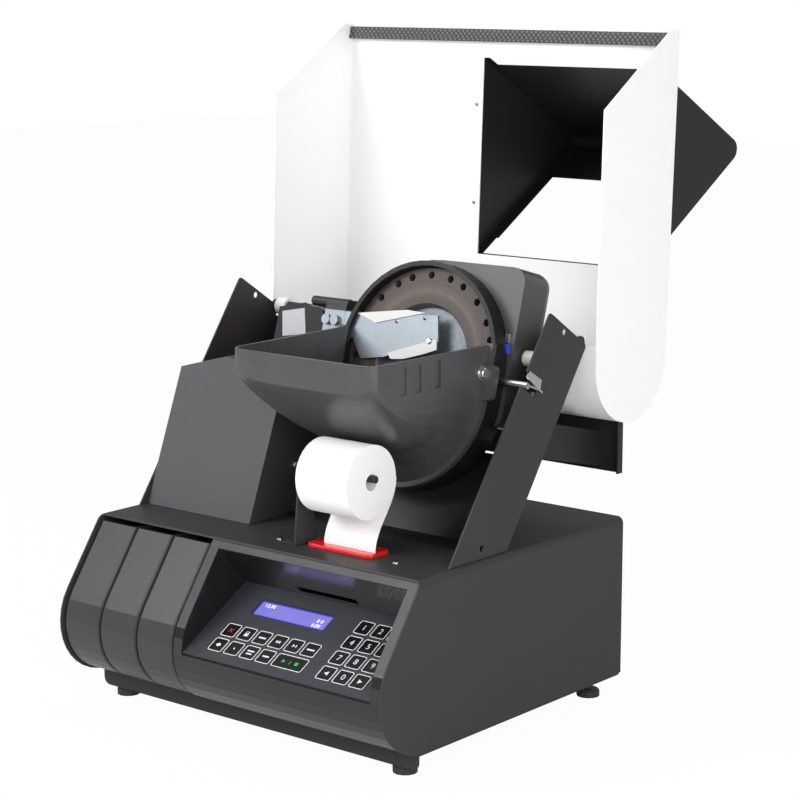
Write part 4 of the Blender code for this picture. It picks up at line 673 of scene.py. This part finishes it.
for name in [name for name in nodes if name.startswith("key_")]:
    sign = name[len("key_"):]
    low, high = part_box(name)
    place = leaning_frame((low + high) / 2, key_slope)
    width = high.x - low.x
    outline = bmesh.new()
    ring(outline, place, rounded(width, KEY_HEIGHT, KEY_ROUND),
         rounded(width - 2 * LINE, KEY_HEIGHT - 2 * LINE, KEY_ROUND - LINE),
         KEY_TOP - MARK_HEIGHT, KEY_TOP + MARK_HEIGHT)
    if sign.isdigit():
        lettered(outline, place @ Matrix.Translation((0, 0, KEY_TOP - MARK_HEIGHT)),
                 sign, KEY_DIGIT, 2 * MARK_HEIGHT)
    elif sign not in inks:
        for mark in signs[sign]:
            slab(outline, place, mark, KEY_TOP - MARK_HEIGHT, KEY_TOP + MARK_HEIGHT)
    put("print_" + name, outline, white_ink, name)
    if sign in inks:
        colour_mark = bmesh.new()
        for mark in signs[sign]:
            slab(colour_mark, place, mark, KEY_TOP - MARK_HEIGHT, KEY_TOP + MARK_HEIGHT)
        put("sign_" + name, colour_mark, inks[sign], name)
    key_count += 1
print("printed keys", key_count)

# %% [markdown]
# The display glows periwinkle, with a deep blue rim where its backlight runs out. The rim is
# made from the distance to the window's middle, measured in the keypad's own leaning frame.

# %% Display
DISPLAY_HALF = (40.2 * mm, 8.6 * mm)
RIM = 1.6 * mm
KEYPAD_BACK = 30.6 * mm
KEYPAD_HEIGHT = 120.7 * mm
WINDOW_ACROSS = 74.2 * mm
WINDOW_DOWN = 25.3 * mm
FACE_PROUD = 1.3 * mm
DIGIT_SIZE = 5.4 * mm
LEAN_UP = Vector((0, math.cos(key_slope), math.sin(key_slope)))
OUT = Vector((0, -math.sin(key_slope), math.cos(key_slope)))
keypad_origin = Vector((RECESS_LEFT, front_edge + KEYPAD_BACK, KEYPAD_HEIGHT))
window_middle = keypad_origin + Vector((WINDOW_ACROSS, 0, 0)) - LEAN_UP * WINDOW_DOWN
display_frame = leaning_frame(window_middle + OUT * FACE_PROUD, key_slope)
display_face = bpy.data.materials.new("display_face")
tree, out = new_nodes(display_face)
shader = tree.nodes.new("ShaderNodeBsdfPrincipled")
shader.inputs["Roughness"].default_value = 0.12
shader.inputs["Emission Strength"].default_value = 1.0
place = tree.nodes.new("ShaderNodeTexCoord")
across = dot(tree, place.outputs["Object"], Vector((1, 0, 0)), window_middle.x)
upward = dot(tree, place.outputs["Object"], LEAN_UP, window_middle.dot(LEAN_UP))
lit = None
for distance, half in ((across, DISPLAY_HALF[0]), (upward, DISPLAY_HALF[1])):
    size = tree.nodes.new("ShaderNodeMath")
    size.operation = "ABSOLUTE"
    wire(tree, distance, size.inputs[0])
    share = spread(tree, size.outputs[0], 1, 0, half - RIM, half)
    if lit is None:
        lit = share
    else:
        both = tree.nodes.new("ShaderNodeMath")
        both.operation = "MULTIPLY"
        wire(tree, lit, both.inputs[0])
        wire(tree, share, both.inputs[1])
        lit = both.outputs[0]
cells = noise(tree, 14 * mm, 2.0)
dim = blended(tree, cells.outputs["Fac"], (0.2, 0.18, 0.62), (0.27, 0.25, 0.76))
glow = blended(tree, lit, (0.012, 0.01, 0.2), (0, 0, 0))
wire(tree, dim.outputs["Result"], glow.inputs["B"])
shader.inputs["Base Color"].default_value = (0.02, 0.02, 0.08, 1)
wire(tree, glow.outputs["Result"], shader.inputs["Emission Color"])
wire(tree, shader.outputs["BSDF"], out.inputs["Surface"])
dress(display_face, "display_module")

digit_glow = bpy.data.materials.new("digit_glow")
tree, out = new_nodes(digit_glow)
shader = tree.nodes.new("ShaderNodeBsdfPrincipled")
shader.inputs["Emission Strength"].default_value = 0.85
flicker = noise(tree, 1.5 * mm, 1.0)
pale = blended(tree, flicker.outputs["Fac"], (0.62, 0.62, 0.95), (0.85, 0.85, 1.0))
wire(tree, pale.outputs["Result"], shader.inputs["Emission Color"])
wire(tree, shader.outputs["BSDF"], out.inputs["Surface"])
digits = bmesh.new()
for words, u, v in (("12:30", -29 * mm, 4.2 * mm), ("0.00", 29.5 * mm, -5 * mm),
                    ("0 0", 30.5 * mm, 0.6 * mm)):
    lettered(digits, display_frame @ Matrix.Translation((u, v, 0)), words,
             DIGIT_SIZE, MARK_HEIGHT)
put("display_digits", digits, digit_glow, "base")
print("display lit, centred at", [round(c, 4) for c in window_middle])

# %% [markdown]
# Small fasteners sit where the photograph shows them. A ray from the camera through a pixel
# finds the sheet that carries each one, and gives the point, the way the sheet faces and the
# body that it belongs to. So every fastener lies flat on its own sheet, from any side.

# %% Find a place on the surface
PICTURE = 800
SENSOR_WIDTH = 36
bpy.context.view_layer.update()
body_of_node = {node: body for body, names in frame["record"]["behaviour"]["bodies"].items()
                for node in names}


def aim_through(column, row):
    """The direction from the camera through a pixel of the photograph."""
    reach = SENSOR_WIDTH / CAMERA_LENS / PICTURE
    return camera.matrix_world.to_3x3() @ Vector(((column - PICTURE / 2) * reach,
                                                  (PICTURE / 2 - row) * reach, -1))


def seen_at(column, row):
    """The point, outward direction, body and node under a pixel of the photograph."""
    aim = aim_through(column, row)
    start = camera.matrix_world.translation
    nearest = None
    for name, node in nodes.items():
        to_node = node.matrix_world.inverted()
        ray = (to_node.to_3x3() @ aim).normalized()
        hit, point, facing, _ = node.ray_cast(to_node @ start, ray)
        distance = (point - to_node @ start).length
        if hit and (nearest is None or distance < nearest[0]):
            nearest = (distance, point, facing, name)
    _, point, facing, carrier = nearest
    if facing.dot(aim) > 0:
        facing = -facing
    return point, facing, body_of_node[carrier], carrier


def frame_on(column, row):
    """A frame on the surface under a pixel, with Z pointing out of it."""
    point, facing, body, carrier = seen_at(column, row)
    turn = facing.to_track_quat("Z", "Y")
    return Matrix.LocRotScale(point, turn, None), body


for pixel in ((280, 539), (396, 563), (477, 104), (474, 202), (482, 373), (397, 317)):
    point, facing, body, carrier = seen_at(*pixel)
    print(pixel, carrier, [round(c * 1000, 1) for c in point], [round(c, 2) for c in facing])

# %% [markdown]
# Screws repeat, so Geometry Nodes place them. One tree makes a domed head with two crossed
# bars and sets a copy on every point of a carrier mesh, facing the way that the point
# says, with a random turn from a fixed seed. The crossed bars carry an attribute that the
# material reads, and it paints them near-black: painted shade in place of a cut recess.

# %% Screw heads by Geometry Nodes
screw_metal = finish("screw_metal", (0.5, 0.51, 0.53), 0.3, metallic=1.0, grain=0.6 * mm,
                     depth=0.01 * mm, blotch=0.12, blotch_size=4 * mm)
tree = screw_metal.node_tree
shader = next(node for node in tree.nodes if node.type == "BSDF_PRINCIPLED")
# The crossed bars are painted near-black below: painted shade standing in for a screw recess, which is not cut.
painted_recess_shade = tree.nodes.new("ShaderNodeAttribute")
painted_recess_shade.attribute_name = "painted_recess_shade"
dark = tree.nodes.new("ShaderNodeMix")
dark.data_type = "RGBA"
dark.inputs["B"].default_value = (0.02, 0.02, 0.02, 1)
wire(tree, shader.inputs["Base Color"].links[0].from_socket, dark.inputs["A"])
wire(tree, painted_recess_shade.outputs["Fac"], dark.inputs["Factor"])
wire(tree, dark.outputs["Result"], shader.inputs["Base Color"])


def screw_tree(material):
    """A node group with inputs for the head's diameter, height and turn seed."""
    group = bpy.data.node_groups.new("screw_heads", "GeometryNodeTree")
    face = group.interface
    face.new_socket("Geometry", in_out="INPUT", socket_type="NodeSocketGeometry")
    face.new_socket("Head Diameter", in_out="INPUT", socket_type="NodeSocketFloat")
    face.new_socket("Head Height", in_out="INPUT", socket_type="NodeSocketFloat")
    face.new_socket("Turn Seed", in_out="INPUT", socket_type="NodeSocketInt")
    face.new_socket("Geometry", in_out="OUTPUT", socket_type="NodeSocketGeometry")
    add = group.nodes.new
    link = group.links.new
    given, result = add("NodeGroupInput"), add("NodeGroupOutput")
    dome = add("GeometryNodeMeshUVSphere")
    dome.inputs["Segments"].default_value = 20
    dome.inputs["Rings"].default_value = 10
    dome.inputs["Radius"].default_value = 0.5
    size = add("ShaderNodeCombineXYZ")
    link(given.outputs["Head Diameter"], size.inputs["X"])
    link(given.outputs["Head Diameter"], size.inputs["Y"])
    double = add("ShaderNodeMath")
    double.operation = "MULTIPLY"
    double.inputs[1].default_value = 2
    link(given.outputs["Head Height"], double.inputs[0])
    link(double.outputs[0], size.inputs["Z"])
    joined = add("GeometryNodeJoinGeometry")
    link(dome.outputs["Mesh"], joined.inputs[0])
    # The crossed bars stand a hair proud of the dome. The stored attribute lets the material paint them near-black
    # as painted recess shade.
    for shape in ((0.62, 0.13, 1.02), (0.13, 0.62, 1.02)):
        bar_mesh = add("GeometryNodeMeshCube")
        bar_mesh.inputs["Size"].default_value = shape
        mark = add("GeometryNodeStoreNamedAttribute")
        mark.data_type = "FLOAT"
        mark.domain = "POINT"
        mark.inputs["Name"].default_value = "painted_recess_shade"
        mark.inputs["Value"].default_value = 1
        link(bar_mesh.outputs["Mesh"], mark.inputs["Geometry"])
        link(mark.outputs["Geometry"], joined.inputs[0])
    sized = add("GeometryNodeTransform")
    link(joined.outputs[0], sized.inputs["Geometry"])
    link(size.outputs[0], sized.inputs["Scale"])
    facing = add("GeometryNodeInputNamedAttribute")
    facing.data_type = "FLOAT_VECTOR"
    facing.inputs["Name"].default_value = "facing"
    aimed = add("FunctionNodeAlignRotationToVector")
    aimed.axis = "Z"
    link(facing.outputs["Attribute"], aimed.inputs["Vector"])
    turn = add("FunctionNodeRandomValue")
    turn.inputs[3].default_value = math.pi
    link(given.outputs["Turn Seed"], turn.inputs["Seed"])
    spun = add("ShaderNodeCombineXYZ")
    link(turn.outputs[1], spun.inputs["Z"])
    both = add("FunctionNodeRotateRotation")
    both.rotation_space = "LOCAL"
    link(aimed.outputs["Rotation"], both.inputs[0])
    link(spun.outputs[0], both.inputs[1])
    copies = add("GeometryNodeInstanceOnPoints")
    link(given.outputs["Geometry"], copies.inputs["Points"])
    link(sized.outputs["Geometry"], copies.inputs["Instance"])
    link(both.outputs[0], copies.inputs["Rotation"])
    real = add("GeometryNodeRealizeInstances")
    link(copies.outputs["Instances"], real.inputs[0])
    coat = add("GeometryNodeSetMaterial")
    coat.inputs["Material"].default_value = material
    link(real.outputs[0], coat.inputs["Geometry"])
    link(coat.outputs[0], result.inputs[0])
    return group


def fasten(name, tree, places, diameter, height, seed, material):
    """Set a head on each (point, outward direction), and bake it to a plain mesh."""
    carrier = bpy.data.meshes.new(name)
    carrier.from_pydata([point for point, _ in places], [], [])
    facing = carrier.attributes.new("facing", "FLOAT_VECTOR", "POINT")
    for value, (_, way) in zip(facing.data, places):
        value.vector = way
    piece = bpy.data.objects.new(name, carrier)
    bpy.context.scene.collection.objects.link(piece)
    nodes_of = piece.modifiers.new("heads", "NODES")
    nodes_of.node_group = tree
    sizes = {"Head Diameter": diameter, "Head Height": height, "Turn Seed": seed}
    for item in tree.interface.items_tree:
        if item.name in sizes:
            nodes_of[item.identifier] = sizes[item.name]
    solid = bpy.data.meshes.new_from_object(
        piece.evaluated_get(bpy.context.evaluated_depsgraph_get()))
    piece.modifiers.remove(nodes_of)
    piece.data = solid
    solid.name = name
    return piece


heads = screw_tree(screw_metal)
screw_rows = {
    "deck_screws": ((280, 539), (396, 563)),
    "cover_screws": ((477, 104), (474, 202)),
    "plate_screws": ((397, 321), (425, 318)),
}
screw_sizes = {"deck_screws": (6.2 * mm, 1.6 * mm), "cover_screws": (4.4 * mm, 1.1 * mm),
               "plate_screws": (4 * mm, 1 * mm)}
for seed, (name, pixels) in enumerate(screw_rows.items()):
    found = [seen_at(*pixel) for pixel in pixels]
    row = fasten(name, heads, [(point, facing) for point, facing, _, _ in found],
                 *screw_sizes[name], seed + 3, screw_metal)
    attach(row, found[0][2])
    print(name, found[0][2], len(row.data.polygons), "faces")

# %% [markdown]
# The working parts under the raised cover carry bright pieces: guide strips on the knife
# plate, a sensor with a pale face, a white roller, a latch plate and a connector. A flat one
# is cut from an outline drawn on the photograph and laid on the sheet that carries it.

# %% Bright pieces on the unit
white_plastic = finish("white_plastic", (0.7, 0.7, 0.68), 0.35, grain=0.8 * mm,
                       depth=0.01 * mm, blotch=0.04)
grey_plastic = finish("grey_plastic", (0.42, 0.43, 0.45), 0.4, grain=0.5 * mm,
                      depth=0.02 * mm, blotch=0.12, blotch_size=3 * mm)
blue_plastic = finish("blue_plastic", (0.03, 0.07, 0.45), 0.35, grain=0.8 * mm,
                      depth=0.01 * mm, blotch=0.05)
LAID_IN = 0.15 * mm


def patch(name, on, outline, thick, material):
    """A flat piece with an outline in pixels, laid on the sheet under one of them."""
    point, facing, body, carrier = seen_at(*on)
    place = Matrix.LocRotScale(point, facing.to_track_quat("Z", "Y"), None)
    start = camera.matrix_world.translation
    corners = []
    for pixel in outline:
        aim = aim_through(*pixel)
        reach = (point - start).dot(facing) / aim.dot(facing)
        local = place.inverted() @ (start + aim * reach)
        corners.append((local.x, local.y))
    plate = bmesh.new()
    slab(plate, place, corners, -LAID_IN, thick)
    put(name, plate, material, body)
    print(name, "on", carrier)


patch("knife_strip_high", (397, 330),
      ((356, 313), (408, 310), (426, 313), (400, 318), (376, 323), (366, 317)),
      1 * mm, white_plastic)
patch("knife_strip_low", (397, 330),
      ((388, 353), (437, 339), (437, 350), (425, 354), (404, 359), (391, 359)),
      1 * mm, white_plastic)
patch("sensor_face", (293, 322), ((283, 311), (305, 308), (306, 334), (283, 336)),
      0.8 * mm, grey_plastic)
patch("latch_plate", (545, 420), ((529, 371), (541, 380), (539, 391), (526, 377)),
      1 * mm, bright_steel)

WASHER_AND_HEAD = ((0, 0), (6.4 * mm, 0), (6.4 * mm, 1 * mm), (4.9 * mm, 1.2 * mm),
                   (4.9 * mm, 4 * mm), (4.2 * mm, 4.7 * mm), (0, 4.7 * mm))
ROLLER = ((0, 0), (3 * mm, 0), (3 * mm, 2 * mm), (6.2 * mm, 2 * mm), (6.8 * mm, 2.6 * mm),
          (6.8 * mm, 13 * mm), (6.2 * mm, 13.6 * mm), (3.4 * mm, 13.6 * mm),
          (3.2 * mm, 12.8 * mm), (0, 12.8 * mm))
SMALL_NUT = ((0, 0), (3.4 * mm, 0), (3.4 * mm, 2.4 * mm), (2.8 * mm, 3 * mm), (0, 3 * mm))
SCREW_SEAT = ((0, 0), (2.6 * mm, 0), (2.6 * mm, 2.2 * mm), (2 * mm, 2.8 * mm), (0, 2.8 * mm))
HEX_SIDES = 6
BOLT_STEPS = 12
for name, pixel, profile, steps, material in (
        ("ear_bolt", (482, 373), WASHER_AND_HEAD, BOLT_STEPS, screw_metal),
        ("latch_roller", (524, 358), ROLLER, TURN_STEPS, white_plastic),
        ("knife_bolt", (430, 341), SCREW_SEAT, TURN_STEPS, screw_metal),
        ("bracket_nut", (294, 465), SMALL_NUT, HEX_SIDES, screw_metal)):
    place, body = frame_on(*pixel)
    turned_piece = bmesh.new()
    lathe(turned_piece, place, profile, steps)
    put(name, turned_piece, material, body)
for name, pixel, size, material in (
        ("connector", (507, 349), (5 * mm, 9 * mm, 7 * mm), blue_plastic),
        ("connector_clip", (509, 339), (6 * mm, 8 * mm, 6 * mm), screw_metal)):
    place, body = frame_on(*pixel)
    small = bmesh.new()
    block(small, place, size, 0.6 * mm)
    put(name, small, material, body)
print("bright pieces on the unit made")

# %% [markdown]
# The sorting rail's tube is clad in black, while the plate that hangs from it is bare zinc.
# One material shows both: it turns dark above the height of the tube's lower side.

# %% Black tube on the sorting rail
TUBE_LOW = 345 * mm
rail_finish = zinc.copy()
rail_finish.name = "rail_finish"
tree = rail_finish.node_tree
shader = next(node for node in tree.nodes if node.type == "BSDF_PRINCIPLED")
place = tree.nodes.new("ShaderNodeTexCoord")
height = dot(tree, place.outputs["Object"], Vector((0, 0, 1)), TUBE_LOW)
clad = spread(tree, height, 0, 1, 0, 0.4 * mm)
paint = tree.nodes.new("ShaderNodeMix")
paint.data_type = "RGBA"
paint.inputs["B"].default_value = (0.012, 0.012, 0.013, 1)
if shader.inputs["Base Color"].is_linked:
    wire(tree, shader.inputs["Base Color"].links[0].from_socket, paint.inputs["A"])
else:
    paint.inputs["A"].default_value = shader.inputs["Base Color"].default_value
wire(tree, clad, paint.inputs["Factor"])
wire(tree, paint.outputs["Result"], shader.inputs["Base Color"])
wire(tree, spread(tree, clad, 0.85, 0), shader.inputs["Metallic"])
dress(rail_finish, "sort_rail")
print("rail tube clad above", TUBE_LOW)
